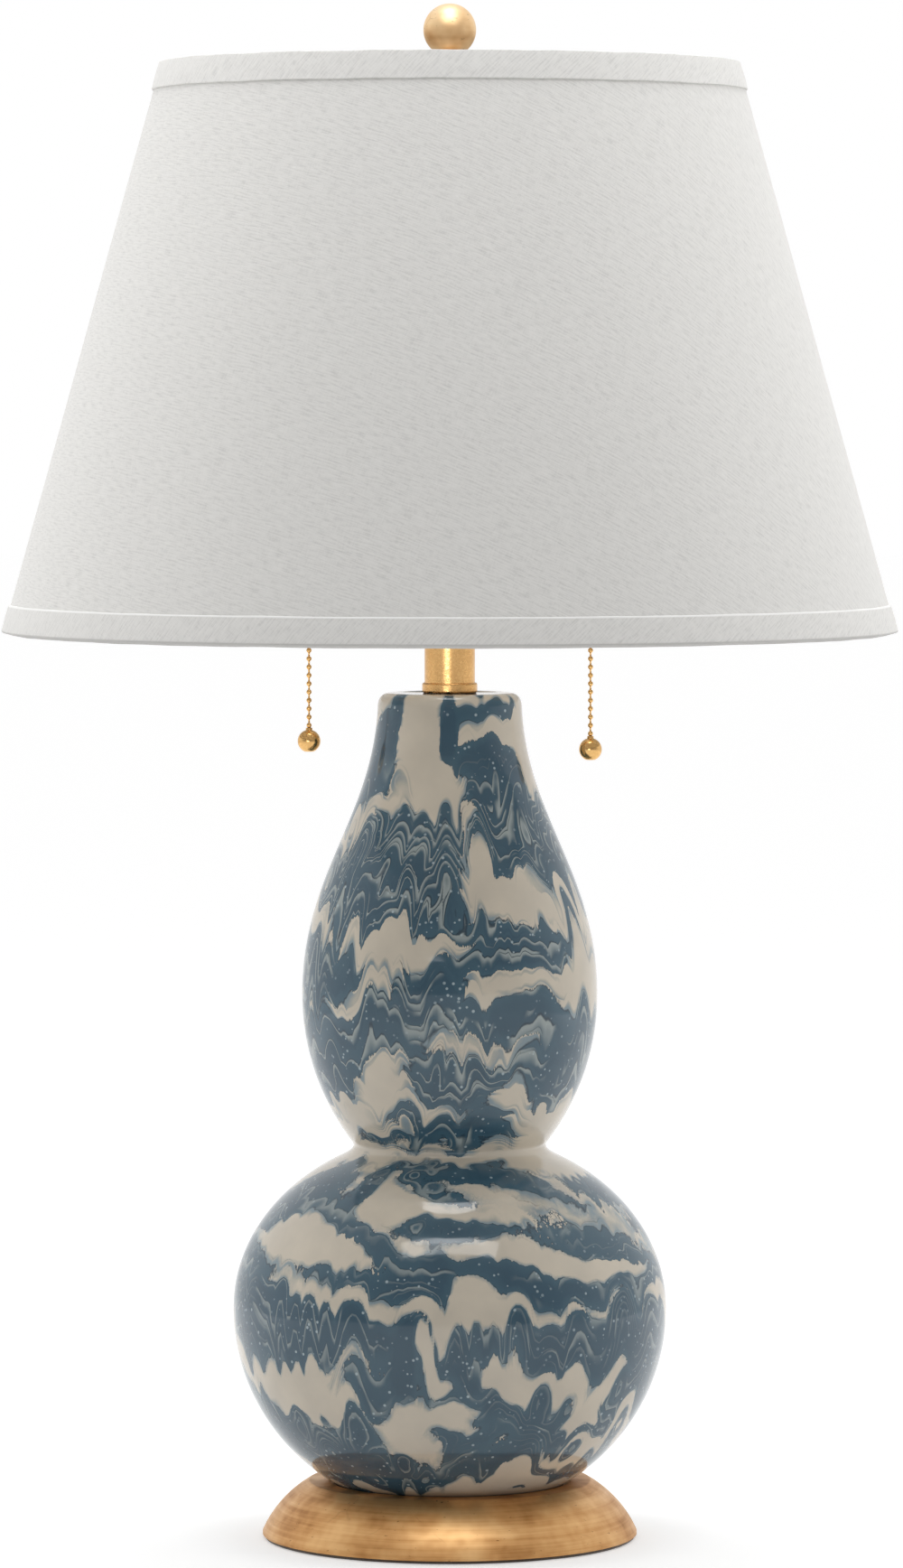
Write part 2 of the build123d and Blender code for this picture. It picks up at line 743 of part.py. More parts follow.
    # Screw shell: a cup that takes the bulb's thread
    with BuildPart() as screw_shell:
        with BuildSketch(body_plane):
            ring(screw_shell_radius, screw_shell_hole)
        extrude(amount=screw_shell_wall)
        with BuildSketch(body_plane):
            ring(screw_shell_radius, screw_shell_radius - screw_shell_wall)
        extrude(amount=screw_shell_length)
    save(screw_shell, f"{name}_screw_shell")

    # Sprung centre contact
    with BuildPart() as centre_contact:
        with BuildSketch(socket_plane):
            with BuildLine():
                Polyline(
                    (0, body_end),
                    (contact_radius, body_end),
                    (contact_radius, body_end + contact_thickness),
                    (contact_radius / 2, body_end + contact_thickness),
                    (contact_radius / 3, contact_top),
                    (0, contact_top),
                    close=True,
                )
            make_face()
        revolve(axis=socket_axis)
    save(centre_contact, f"{name}_centre_contact")

    # Bell mouth that guides the chain out of the shell
    flange_end_z = bell_seat_z - bell_flange
    with BuildPart() as chain_bell:
        with BuildSketch(chain_plane):
            with BuildLine():
                Polyline(
                    (bell_lip_radius, bell_mouth_z + bell_lip),
                    (bell_lip_radius, bell_mouth_z),
                    (bell_lip_radius - bell_lip, bell_mouth_z),
                )
                Spline(
                    (bell_lip_radius - bell_lip, bell_mouth_z),
                    (bell_bore_radius, flange_end_z),
                    tangents=[(-1, 1), (0, 1)],
                )
                Polyline(
                    (bell_bore_radius, flange_end_z),
                    (bell_bore_radius, bell_top_z),
                    (bell_stem_radius, bell_top_z),
                    (bell_stem_radius, bell_seat_z),
                    (bell_flange_radius, bell_seat_z),
                    (bell_flange_radius, flange_end_z),
                    (bell_throat_radius, flange_end_z),
                )
                Spline(
                    (bell_throat_radius, flange_end_z),
                    (bell_lip_radius, bell_mouth_z + bell_lip),
                    tangents=[(0, -1), (1, -1)],
                )
            make_face()
        revolve(axis=chain_axis)
    save(chain_bell, f"{name}_chain_bell")

    # Upper run of the chain, from the drum to the bead that the rest swings from
    lead_count = math.floor((drum_z - pivot_z) / bead_pitch)
    lead_beads = [pivot_z + bead_pitch * (lead_count - i) for i in range(lead_count + 1)]
    with BuildPart() as chain_lead:
        loft(bead_sections(chain_x, lead_beads[0], lead_beads, pivot_z), ruled=True)
    save(chain_lead, f"{name}_chain_lead")

    # Hanging run of the chain
    hanging_beads = [pivot_z - bead_pitch * (i + 1) for i in range(hanging_count)]
    ball_z = hanging_beads[-1] - ball_drop
    ball_top_z = ball_z + ball_radius + ball_collar_height
    with BuildPart() as pull_chain:
        link_top_z = pivot_z - bead_radius - chain_gap
        link_bottom_z = ball_top_z - ball_hole_depth + rest_gap
        loft(bead_sections(chain_x, link_top_z, hanging_beads, link_bottom_z), ruled=True)
    save(pull_chain, f"{name}_pull_chain")

    # Ball end, flat below, with a collar crimped on the chain
    flat_drop = math.sqrt(ball_radius**2 - ball_flat_radius**2)
    with BuildPart() as pull_ball:
        with BuildSketch(chain_plane):
            with Locations((0, ball_z)):
                Circle(ball_radius)
            with Locations((0, ball_z + (ball_radius + ball_collar_height) / 2)):
                Rectangle(2 * ball_collar_radius, ball_radius + ball_collar_height)
            with Locations((0, ball_z - flat_drop - ball_radius)):
                Rectangle(2 * ball_radius, 2 * ball_radius, mode=Mode.SUBTRACT)
            with Locations((-ball_radius, ball_z)):
                Rectangle(2 * ball_radius, 4 * ball_radius, mode=Mode.SUBTRACT)
            with Locations((0, ball_top_z - ball_hole_depth / 2)):
                Rectangle(2 * (link_radius + fixed_gap), ball_hole_depth, mode=Mode.SUBTRACT)
        revolve(axis=chain_axis)
    save(pull_ball, f"{name}_pull_ball")

    # Bulb cap: tip contact, insulator and screw sleeve
    with BuildPart() as bulb_cap:
        with BuildSketch(socket_plane):
            sleeve_start = bulb_start + bulb_tip_height + bulb_cone_height
            inner_radius = bulb_thread_radius - bulb_cap_wall
            with BuildLine():
                Polyline(
                    (0, bulb_start),
                    (bulb_tip_radius, bulb_start),
                    (bulb_tip_radius, bulb_start + bulb_tip_height),
                    (bulb_thread_radius, sleeve_start),
                    (bulb_thread_radius, bulb_cap_end),
                    (inner_radius, bulb_cap_end),
                    (inner_radius, sleeve_start),
                    (0, sleeve_start),
                    close=True,
                )
            make_face()
        revolve(axis=socket_axis)
    save(bulb_cap, f"{name}_bulb_cap")

    # Bulb glass, a closed shell
    with BuildPart() as bulb_glass:
        revolve(bulb_section(0, socket_plane).faces(), axis=socket_axis)
        revolve(bulb_section(bulb_wall, socket_plane).faces(), axis=socket_axis, mode=Mode.SUBTRACT)
    save(bulb_glass, f"{name}_bulb_glass")

# Shade: layers drawn in a plane that lies along the slope, with local x up the slope and local y outward
slope_length = math.hypot(shade_bottom_radius - shade_top_radius, shade_height)
slope_plane = Plane(
    origin=(shade_bottom_radius, 0, shade_bottom_z),
    x_dir=(shade_top_radius - shade_bottom_radius, 0, shade_height),
    z_dir=(0, 1, 0),
)
lining_depth = linen_thickness + panel_thickness
ring_depth = lining_depth + ring_radius + fixed_gap
tuck_depth = ring_depth + ring_radius + fixed_gap

# Stiff lining sheet
with BuildPart() as shade_panel:
    with BuildSketch(slope_plane):
        with Locations((slope_length / 2, -linen_thickness - panel_thickness / 2)):
            Rectangle(slope_length, panel_thickness)
    revolve(axis=Axis.Z)
save(shade_panel, "shade_panel")

# Linen laid over the lining
with BuildPart() as shade_linen:
    with BuildSketch(slope_plane):
        with Locations((slope_length / 2, -linen_thickness / 2)):
            Rectangle(slope_length, linen_thickness)
    revolve(axis=Axis.Z)
save(shade_linen, "shade_linen")

# Lines of the spider's spokes: each runs level from the hub, then climbs to the top ring
ring_spot = slope_plane.from_local_coords((slope_length - ring_radius - fixed_gap, -ring_depth, 0))
spoke_z = spider_z + spider_hub_thickness / 2
spider_hub_radius = seat_radius + spider_hub_rim
spoke_lines = []
for spoke in range(spoke_count):
    turn = math.radians(90 + 360 * spoke / spoke_count)
    outward = Vector(math.cos(turn), math.sin(turn), 0)
    weld = outward * (seat_radius + spider_hub_rim / 2) + Vector(0, 0, spoke_z)
    knee = outward * (ring_spot.X - spoke_rise_run) + Vector(0, 0, spoke_z)
    tip = outward * ring_spot.X + Vector(0, 0, ring_spot.Z)
    spoke_lines.append((weld, knee, tip))

# Bias trim folded over each edge and tucked behind the wire, with a notch where a spoke passes
for name, start, way in (("bottom_trim", 0, 1), ("top_trim", slope_length, -1)):
    with BuildPart() as edge_trim:
        with BuildSketch(slope_plane):
            with BuildLine():
                Polyline(
                    (start, 0),
                    (start + way * trim_width, 0),
                    (start + way * trim_width, trim_thickness),
                    (start - way * trim_thickness, trim_thickness),
                    (start - way * trim_thickness, -tuck_depth - trim_thickness),
                    (start + way * trim_tuck, -tuck_depth - trim_thickness),
                    (start + way * trim_tuck, -tuck_depth),
                    (start, -tuck_depth),
                    close=True,
                )
            make_face()
            outer_corner = (start - way * trim_thickness, trim_thickness)
            fillet(vertices().sort_by_distance(outer_corner)[0], trim_thickness / 2)
        revolve(axis=Axis.Z)
        for weld, knee, tip in spoke_lines:
            with BuildSketch(Plane(origin=knee, z_dir=tip - knee)):
                Circle(spoke_radius + rest_gap)
            extrude(amount=(tip - knee).length, mode=Mode.SUBTRACT)
    save(edge_trim, name)

# Wire ring in the bottom edge
with BuildPart() as bottom_ring:
    with BuildSketch(slope_plane):
        with Locations((ring_radius + fixed_gap, -ring_depth)):
            Circle(ring_radius)
    revolve(axis=Axis.Z)
save(bottom_ring, "bottom_ring")

# Wire ring in the top edge
with BuildPart() as top_ring:
    with BuildSketch(Plane.XZ):
        with Locations((ring_spot.X, ring_spot.Z)):
            Circle(ring_radius)
    revolve(axis=Axis.Z)
save(top_ring, "top_ring")

# Hub washer of the spider, which the finial clamps on the seat
with BuildPart() as spider_hub:
    with BuildSketch(Plane.XY.offset(spider_z)):
        ring(spider_hub_radius, stud_radius + running_gap)
    extrude(amount=spider_hub_thickness)
save(spider_hub, "spider_hub")

# Spokes of the spider, cut to butt against the hub's rim and the top ring, where they are welded
with BuildPart() as spider_spokes:
    for weld, knee, tip in spoke_lines:
        with BuildLine() as spoke_path:
            FilletPolyline(weld, knee, tip, radius=spoke_bend)
        with BuildSketch(Plane(origin=weld, z_dir=knee - weld)):
            Circle(spoke_radius)
        sweep(path=spoke_path.line)
    with BuildSketch(Plane.XY.offset(spoke_z)):
        Circle(spider_hub_radius)
    extrude(amount=spider_drop, both=True, mode=Mode.SUBTRACT)
    with BuildSketch(Plane.XZ):
        with Locations((ring_spot.X, ring_spot.Z)):
            Circle(ring_radius)
    revolve(axis=Axis.Z, mode=Mode.SUBTRACT)
save(spider_spokes, "spider_spokes")

# Finial: a turned ferrule on the stud and a gilded ball on the ferrule
ferrule_top_z = ferrule_z + ferrule_height
with BuildPart() as finial_ferrule:
    with BuildSketch(Plane.XZ):
        with BuildLine():
            Polyline(
                (ferrule_radius, ferrule_z + ferrule_flange),
                (ferrule_radius, ferrule_z),
                (0, ferrule_z),
                (0, ferrule_top_z),
                (ferrule_cup_radius, ferrule_top_z),
                (ferrule_cup_radius, ferrule_top_z - ferrule_cup),
            )
            Spline(
                (ferrule_cup_radius, ferrule_top_z - ferrule_cup),
                (ferrule_neck_radius, ferrule_z + ferrule_height / 2),
                (ferrule_radius, ferrule_z + ferrule_flange),
            )
        make_face()
    revolve(axis=Axis.Z)
    with BuildSketch(Plane.XY.offset(ferrule_z)):
        Circle(stud_radius + running_gap)
    extrude(amount=stud_length + rest_gap, mode=Mode.SUBTRACT)
save(finial_ferrule, "finial_ferrule")

finial_ball_z = ferrule_top_z + math.sqrt(finial_ball_radius**2 - finial_flat_radius**2)
with BuildPart() as finial_ball:
    with BuildSketch(Plane.XZ):
        with Locations((0, finial_ball_z)):
            Circle(finial_ball_radius)
        with Locations((0, ferrule_top_z - finial_ball_radius)):
            Rectangle(2 * finial_ball_radius, 2 * finial_ball_radius, mode=Mode.SUBTRACT)
        with Locations((-finial_ball_radius, finial_ball_z)):
            Rectangle(2 * finial_ball_radius, 4 * finial_ball_radius, mode=Mode.SUBTRACT)
    revolve(axis=Axis.Z)
save(finial_ball, "finial_ball")
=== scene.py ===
import json
import math

import bmesh
import bpy
import numpy as np
from mathutils import Matrix, Vector, noise


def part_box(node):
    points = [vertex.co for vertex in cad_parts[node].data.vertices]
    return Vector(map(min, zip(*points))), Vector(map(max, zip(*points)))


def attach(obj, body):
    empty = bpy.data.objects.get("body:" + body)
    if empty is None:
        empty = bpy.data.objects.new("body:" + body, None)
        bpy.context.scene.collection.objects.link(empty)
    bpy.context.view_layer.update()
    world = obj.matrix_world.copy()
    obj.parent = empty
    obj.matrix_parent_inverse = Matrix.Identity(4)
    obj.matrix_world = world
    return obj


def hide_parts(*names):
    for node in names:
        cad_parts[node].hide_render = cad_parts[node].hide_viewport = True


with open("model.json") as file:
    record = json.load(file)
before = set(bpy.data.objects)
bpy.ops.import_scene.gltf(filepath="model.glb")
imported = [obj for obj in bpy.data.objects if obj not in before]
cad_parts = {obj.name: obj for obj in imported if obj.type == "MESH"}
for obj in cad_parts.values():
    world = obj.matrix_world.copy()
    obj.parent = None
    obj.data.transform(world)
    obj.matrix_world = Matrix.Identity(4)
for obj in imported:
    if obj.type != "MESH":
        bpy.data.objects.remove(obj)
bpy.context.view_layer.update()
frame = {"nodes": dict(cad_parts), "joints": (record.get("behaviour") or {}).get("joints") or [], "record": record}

cadNodes = frame["nodes"]
slotOf = {row["node"]: row["material_slot"] for row in frame["record"]["subparts"]}
jointOf = {row["name"]: row for row in frame["joints"]}
print("frame loaded:", len(cadNodes), "nodes")


# nodes of the room, the floor and the finishes
white = (1.0, 1.0, 1.0)
noiseMiddle = 0.5
noiseRange = (0.3, 0.7)  # nearly all of a noise lies between these


class Mixer:  # adds nodes to a world or a material, most methods give back the new node's output
    def __init__(self, owner):
        owner.use_nodes = True
        self.owner = owner
        self.tree = owner.node_tree

    def feed(self, socket, value):  # links an output to a socket, or sets the socket's own value
        if isinstance(value, bpy.types.NodeSocket):
            self.tree.links.new(value, socket)
        elif isinstance(value, tuple) and len(value) == 3 and len(socket.default_value) == 4:
            socket.default_value = (*value, 1.0)
        else:
            socket.default_value = value

    def node(self, kind, values=(), **settings):
        node = self.tree.nodes.new("ShaderNode" + kind)
        for name, value in settings.items():
            setattr(node, name, value)
        pairs = values.items() if isinstance(values, dict) else enumerate(values)
        for key, value in pairs:
            self.feed(node.inputs[key], value)
        return node

    def add(self, kind, values=(), output=0, **settings):
        return self.node(kind, values, **settings).outputs[output]

    def place(self, output="Object"):
        return self.add("TexCoord", output=output)

    def held(self, name):  # a number stored on the mesh
        return self.add("Attribute", output="Fac", attribute_name=name)

    def math(self, operation, *values):
        return self.add("Math", values, operation=operation)

    def times(self, first, *others):
        for other in others:
            first = self.math("MULTIPLY", first, other)
        return first

    def blend(self, first, second, part):  # this part of the first value and the rest of the second
        return self.math("MULTIPLY_ADD", first, part, self.math("MULTIPLY", second, 1 - part))

    def vector(self, operation, *values):
        return self.add("VectorMath", values, operation=operation)

    def stretch(self, point, x, y, z):
        return self.vector("MULTIPLY", point, (x, y, z))

    def noise(self, point, scale=1.0, detail=2.0, roughness=0.5, output="Fac"):
        values = {"Vector": point, "Scale": scale, "Detail": detail, "Roughness": roughness}
        return self.add("TexNoise", values, output)

    def remap(self, value, low, high, toLow=0.0, toHigh=1.0):
        return self.add("MapRange", (value, low, high, toLow, toHigh), interpolation_type="SMOOTHSTEP")

    def ramp(self, value, stops):
        node = self.node("ValToRGB", (value,))
        marks = node.color_ramp.elements
        while len(marks) < len(stops):
            marks.new(1.0)
        for mark, (position, color) in zip(marks, stops):
            mark.position = position
            mark.color = (*color, 1.0)
        return node.outputs[0]

    def mix(self, share, first, second, blend="MIX"):
        return self.add("Mix", {0: share, 6: first, 7: second}, 2, data_type="RGBA", blend_type=blend)

    def split(self, point):
        return self.node("SeparateXYZ", (point,)).outputs

    def join(self, x, y, z):
        return self.add("CombineXYZ", (x, y, z))

    def bump(self, height, strength, distance):
        return self.add("Bump", {"Height": height, "Strength": strength, "Distance": distance})

    def finish(self, **inputs):  # sets the surface and gives back the material
        shader = self.tree.nodes["Principled BSDF"]
        for name, value in inputs.items():
            self.feed(shader.inputs[name.replace("_", " ")], value)
        return self.owner


# view and studio
view = {"lens": 171.08, "sensor": 36.0, "place": (0.0008, -3.396, 0.5256), "lookDown": 3.04}
studio = {
    "frontGlow": 0.35, "backGlow": 1.15,  # the room is dimmer in front of the lamp than behind it
    "mirrored": (-0.5, 0.0),  # the white of the background fades into reflections from front to back
    "floorColor": (0.9, 0.9, 0.9), "floorLift": 0.32,
    "floorRadius": 20.0, "floorSides": 96, "floorZ": -0.0002,
    "floorHole": 0.0835,  # under the felt, so that light reaches it in views from below
    "strip": {"place": (0.0, -1.0, 1.75), "target": (0.0, -0.09, 0.13), "size": (1.5, 0.4), "power": 6.0},
    "sides": {"place": (1.5, 0.35, 0.75), "target": (0.0, 0.0, 0.4), "size": (0.8, 1.4), "power": 5.5},
    "front": {"place": (0.0, -0.5, 1.25), "target": (0.0, -0.1, 0.72), "size": (0.7, 0.3), "power": 0.2,
              "spread": 45.0},
    "band": {"place": (-0.10, -0.50, 0.383), "target": (0.0, -0.02, 0.397), "size": (0.3, 0.03),
             "power": 0.013, "spread": 34.0},
    "overhead": {"place": (0.0, -0.1, 1.6), "target": (0.0, 0.0, 0.6), "size": (0.5, 0.5), "power": 3.4},
}


def addCamera():
    data = bpy.data.cameras.new("camera")
    data.lens = view["lens"]
    data.sensor_width = view["sensor"]
    camera = bpy.data.objects.new("camera", data)
    camera.location = view["place"]
    camera.rotation_euler = (math.radians(90 - view["lookDown"]), 0, 0)
    bpy.context.scene.collection.objects.link(camera)
    bpy.context.scene.camera = camera


def addSoftbox(name, place, target, size, power, spread=180.0):
    light = bpy.data.lights.new(name, "AREA")
    light.shape = "RECTANGLE"
    light.size, light.size_y = size
    light.energy = power
    light.spread = math.radians(spread)
    box = bpy.data.objects.new(name, light)
    box.location = place
    box.rotation_euler = (Vector(target) - Vector(place)).to_track_quat("-Z", "Y").to_euler()
    box.visible_camera = False
    bpy.context.scene.collection.objects.link(box)
    return box


def addRoom():
    world = bpy.data.worlds.new("room")
    bpy.context.scene.world = world
    m = Mixer(world)
    way = m.split(m.place("Generated"))["Y"]  # -1 in front of the lamp, 1 behind it
    glow = m.add("MapRange", (way, -1.0, 1.0, studio["frontGlow"], studio["backGlow"]))
    behind = m.add("MapRange", (way, *studio["mirrored"], 0.0, 1.0))
    ray = m.node("LightPath").outputs
    mirrored = m.times(m.math("MAXIMUM", ray["Is Glossy Ray"], ray["Is Transmission Ray"]), behind)
    shown = m.math("MAXIMUM", ray["Is Camera Ray"], mirrored)  # where the room is plain white
    back = m.tree.nodes["Background"]
    m.feed(back.inputs["Color"], white)
    m.feed(back.inputs["Strength"], m.math("MULTIPLY_ADD", glow, m.math("SUBTRACT", 1.0, shown), shown))


def addFloor():
    count = studio["floorSides"]
    turns = [2 * math.pi * k / count for k in range(count)]
    corners = [(radius * math.cos(a), radius * math.sin(a), studio["floorZ"])
               for radius in (studio["floorHole"], studio["floorRadius"]) for a in turns]
    faces = [(k, count + k, count + (k + 1) % count, (k + 1) % count) for k in range(count)]
    data = bpy.data.meshes.new("floor")
    data.from_pydata(corners, [], faces)
    floor = bpy.data.objects.new("floor", data)
    bpy.context.scene.collection.objects.link(floor)
    m = Mixer(bpy.data.materials.new("floorPaint"))
    m.tree.nodes.clear()
    ray = m.node("LightPath").outputs
    mirrored = m.math("MAXIMUM", ray["Is Glossy Ray"], ray["Is Transmission Ray"])
    shown = m.math("MAXIMUM", ray["Is Camera Ray"], mirrored)
    matt = m.add("BsdfDiffuse", {"Color": studio["floorColor"]})
    glow = m.add("Emission", {"Color": white, "Strength": m.times(shown, studio["floorLift"])})
    clear = m.add("BsdfTransparent", {"Color": white})  # from below the floor can be seen through
    below = m.add("NewGeometry", output="Backfacing")
    sides = m.add("MixShader", (below, m.add("AddShader", (matt, glow)), clear))
    m.node("OutputMaterial", {"Surface": sides})
    data.materials.append(m.owner)


addCamera()
addRoom()
addFloor()
for name in ("strip", "band"):
    addSoftbox(name + "Box", **studio[name]).visible_diffuse = False  # these two only show as reflections
for name in ("front", "overhead"):
    addSoftbox(name + "Box", **studio[name])
sideX, sideY, sideZ = studio["sides"]["place"]
for hand in (-1, 1):
    box = {**studio["sides"], "place": (hand * sideX, sideY, sideZ)}
    addSoftbox("sideBox", **box).visible_glossy = False  # no window shapes on the glaze
bpy.context.scene.view_settings.view_transform = "Standard"
print("studio ready")


# finishes
def fromBytes(red, green, blue):  # a screen colour as a linear one
    def linear(byte):
        share = byte / 255
        return share / 12.92 if share <= 0.04045 else ((share + 0.055) / 1.055) ** 2.4
    return linear(red), linear(green), linear(blue)


glaze = {
    "tones": {"cream": fromBytes(203, 193, 176), "shade": fromBytes(178, 174, 162),
              "halo": fromBytes(130, 146, 152), "line": fromBytes(44, 61, 73),
              "blue": fromBytes(65, 94, 109), "deep": fromBytes(56, 83, 99),
              "speck": fromBytes(172, 187, 192), "fold": fromBytes(153, 162, 160)},
    # millimetres into the blue and the tone there, on a pool's soft upper edge and on its crisp foot
    "softEdge": ((-4.2, "cream"), (-2.6, "shade"), (-1.0, "halo"), (-0.4, "halo"), (0.1, "line"),
                 (0.6, "blue"), (9.0, "deep")),
    "crispEdge": ((-0.7, "cream"), (-0.3, "shade"), (0.0, "line"), (0.5, "blue"), (9.0, "deep")),
    "reach": 0.010,  # the tones run this far to each side of an edge
    # the layers of the pour, each pair is for the lower and the upper bulb
    "wide": (15.0, 17.0), "tall": (70.0, 96.0), "tilt": (0.26, 0.0), "layerRough": 0.45,
    "sheet": (0.009, 0.022), "sink": (0.455, 0.490),  # how far layers move an edge, and how much stays cream
    "narrow": (1.4, 0.62),  # more makes the soft edges narrower
    "feel": 0.0009, "foot": (-0.0003, 0.0007),  # the change of depth over this height tells a pool's foot
    "wobbleGrain": 210.0, "wobble": 0.0016, "inside": (-0.0002, 0.0006),
    "icicle": {"across": (430.0, 850.0), "down": 45.0, "length": 0.011, "start": 0.09},
    # pale folds in the blue, each up to a dark line
    # a row holds the distance apart, a seed, the cover and the strength on the lower bulb
    "folds": {"rows": ((0.0150, 0.3, 0.17, 0.75), (0.0085, 0.71, 0.12, 0.3)), "plainNeck": (0.362, 0.340),
              "tone": (0.9, 0.95), "line": (0.7, 1.0), "tilt": (0.2, 0.0), "warpGrain": 14.0, "warp": 2.4,
              "swellGrain": 48.0, "swell": (0.35, 0.65), "patchGrain": 30.0, "patch": (0.60, 0.68),
              # shares of the distance between two folds
              "paleStart": (0.50, 0.12), "paleFull": 0.56, "paleEnd": (0.62, 0.58),
              "lineStart": (0.57, 0.60), "lineEnd": (0.66, 0.62), "lineDepth": (-0.004, 0.0005, 0.0, 0.8)},
    "specks": {"grain": 330.0, "bare": 0.15, "size": (0.1, 0.3), "edge": (1.0, 0.5),
               "inside": (0.0006, 0.003), "crowdGrain": 40.0, "crowd": (0.40, 0.56, 0.3, 0.85)},
    "cloudGrain": 55.0, "cloud": (0.8, 0.81, 0.83), "cloudShare": 0.6,
    "rippleGrain": 85.0, "ripple": (0.06, 0.0006), "rough": (0.056, 0.091),
}


def glazeMaterial():
    g, tones, icicle, fold, speck = glaze, glaze["tones"], glaze["icicle"], glaze["folds"], glaze["specks"]
    p = Mixer(bpy.data.materials.new("marbledGlaze"))
    spot = p.place()
    x, y, z = p.split(spot)
    level, bias, upper = p.held("level"), p.held("bias"), p.held("upperBulb")  # stored by pourGlaze

    def both(pair):  # from the lower bulb's value to the upper one's
        return p.remap(upper, 0.0, 1.0, *pair)

    wide, tall, sheet, sink = both(g["wide"]), both(g["tall"]), both(g["sheet"]), both(g["sink"])
    wideX, wideY = p.times(x, wide), p.times(y, wide)
    tilted = p.math("MULTIPLY_ADD", x, both(g["tilt"]), level)

    def pool(shift):  # metres inside a blue pool, negative in the cream
        height = p.times(p.math("ADD", tilted, shift), tall)
        layer = p.noise(p.join(wideX, wideY, height), roughness=g["layerRough"])
        return p.math("MULTIPLY_ADD", p.math("SUBTRACT", layer, sink), sheet, bias)

    rise = p.math("SUBTRACT", pool(g["feel"]), pool(-g["feel"]))
    foot = p.remap(rise, *g["foot"])  # 1 on the lower edge of a pool
    across = both(icicle["across"])
    comb = p.join(p.times(x, across), p.times(y, across), p.times(z, icicle["down"]))
    comb = p.math("ABSOLUTE", p.math("SUBTRACT", p.noise(comb, roughness=0.6), noiseMiddle))
    fringe = p.times(p.math("SUBTRACT", icicle["start"], comb), foot, icicle["length"])
    wobble = p.math("SUBTRACT", p.noise(spot, g["wobbleGrain"], detail=3.0, roughness=0.6), noiseMiddle)
    depth = p.math("ADD", pool(0.0), p.math("MULTIPLY_ADD", wobble, g["wobble"], fringe))
    inside = p.remap(depth, *g["inside"])

    def bands(value, marks):  # the edge is in the middle of the ramp
        scale = 0.5 / g["reach"]
        share = p.math("MULTIPLY_ADD", value, scale, 0.5)
        return p.ramp(share, [(0.5 + scale * far / 1000, tones[tone]) for far, tone in marks])

    soft = bands(p.times(depth, both(g["narrow"])), g["softEdge"])
    color = p.mix(foot, soft, bands(depth, g["crispEdge"]))

    warp = p.noise(spot, fold["warpGrain"])
    swell = p.noise(spot, fold["swellGrain"])
    paleStart = p.remap(swell, *fold["swell"], *fold["paleStart"])
    folded = p.math("MULTIPLY_ADD", x, both(fold["tilt"]), level)
    plain = p.remap(z, *fold["plainNeck"])  # no folds above, all of them below
    for distance, seed, cover, below in fold["rows"]:
        share = p.math("MULTIPLY_ADD", warp, fold["warp"], seed)
        share = p.math("FRACT", p.math("MULTIPLY_ADD", folded, 1 / distance, share))
        patch = p.noise(p.vector("ADD", spot, (seed, 0.0, 0.0)), fold["patchGrain"])
        here = p.remap(patch, *(edge - cover for edge in fold["patch"]))
        strength = p.times(here, plain, both((below, 1.0)))
        pale = p.times(p.remap(share, paleStart, fold["paleFull"]), p.remap(share, *fold["paleEnd"]), inside)
        color = p.mix(p.times(pale, strength, both(fold["tone"])), color, tones["fold"])
        dark = p.times(p.remap(share, *fold["lineStart"]), p.remap(share, *fold["lineEnd"]))
        dark = p.times(dark, p.remap(depth, *fold["lineDepth"]), strength, both(fold["line"]))
        color = p.mix(dark, color, tones["line"])

    # pin-hole specks that boiled through the blue
    cells = p.node("TexVoronoi", {"Vector": spot, "Scale": speck["grain"]}).outputs
    chance = p.split(cells["Color"])
    some = p.math("GREATER_THAN", chance[0], speck["bare"])
    size = p.remap(chance[1], 0.0, 1.0, *speck["size"])
    dot = p.remap(p.math("DIVIDE", cells["Distance"], size), *speck["edge"])
    crowd = p.remap(p.noise(spot, speck["crowdGrain"], detail=1.0), *speck["crowd"])
    color = p.mix(p.times(dot, some, p.remap(depth, *speck["inside"]), crowd), color, tones["speck"])

    cloud = p.ramp(p.noise(spot, g["cloudGrain"], detail=3.0), tuple(zip(noiseRange, (g["cloud"], white))))
    color = p.mix(g["cloudShare"], color, cloud, "MULTIPLY")
    ripple = p.noise(spot, g["rippleGrain"])
    return p.finish(Base_Color=color, Roughness=p.remap(ripple, *noiseRange, *g["rough"]), IOR=1.5,
                    Normal=p.bump(ripple, *g["ripple"]))


leaf = {
    "foot": {"dark": fromBytes(154, 104, 57), "mid": fromBytes(200, 151, 97),
             "bright": fromBytes(220, 176, 122), "streaks": 420.0, "laps": 24.0, "gap": 0.12},
    # the ball's leaf is pinker and paler than the foot's: partly its own tone, partly painted light from the lamp
    # above
    "ball": {"dark": fromBytes(204, 156, 104), "mid": fromBytes(240, 205, 157),
             "bright": fromBytes(250, 222, 180), "streaks": 90.0, "laps": 110.0, "gap": 0.75},
    "bole": fromBytes(84, 46, 24), "tones": (0.3, 0.46, 0.62),
    "rough": (0.54, 0.38), "relief": (0.05, 0.0003),
    "brushGrain": 9.0, "brushPart": 0.4, "cloudGrain": 45.0, "wanderGrain": 120.0, "wander": 0.004,
    "lapEdge": (0.008, 0.002), "wornGrain": 60.0, "worn": (0.5, 0.62),
    "rubGrain": (300.0, 300.0, 900.0), "rub": (0.68, 0.76), "rubShare": 0.6,
}


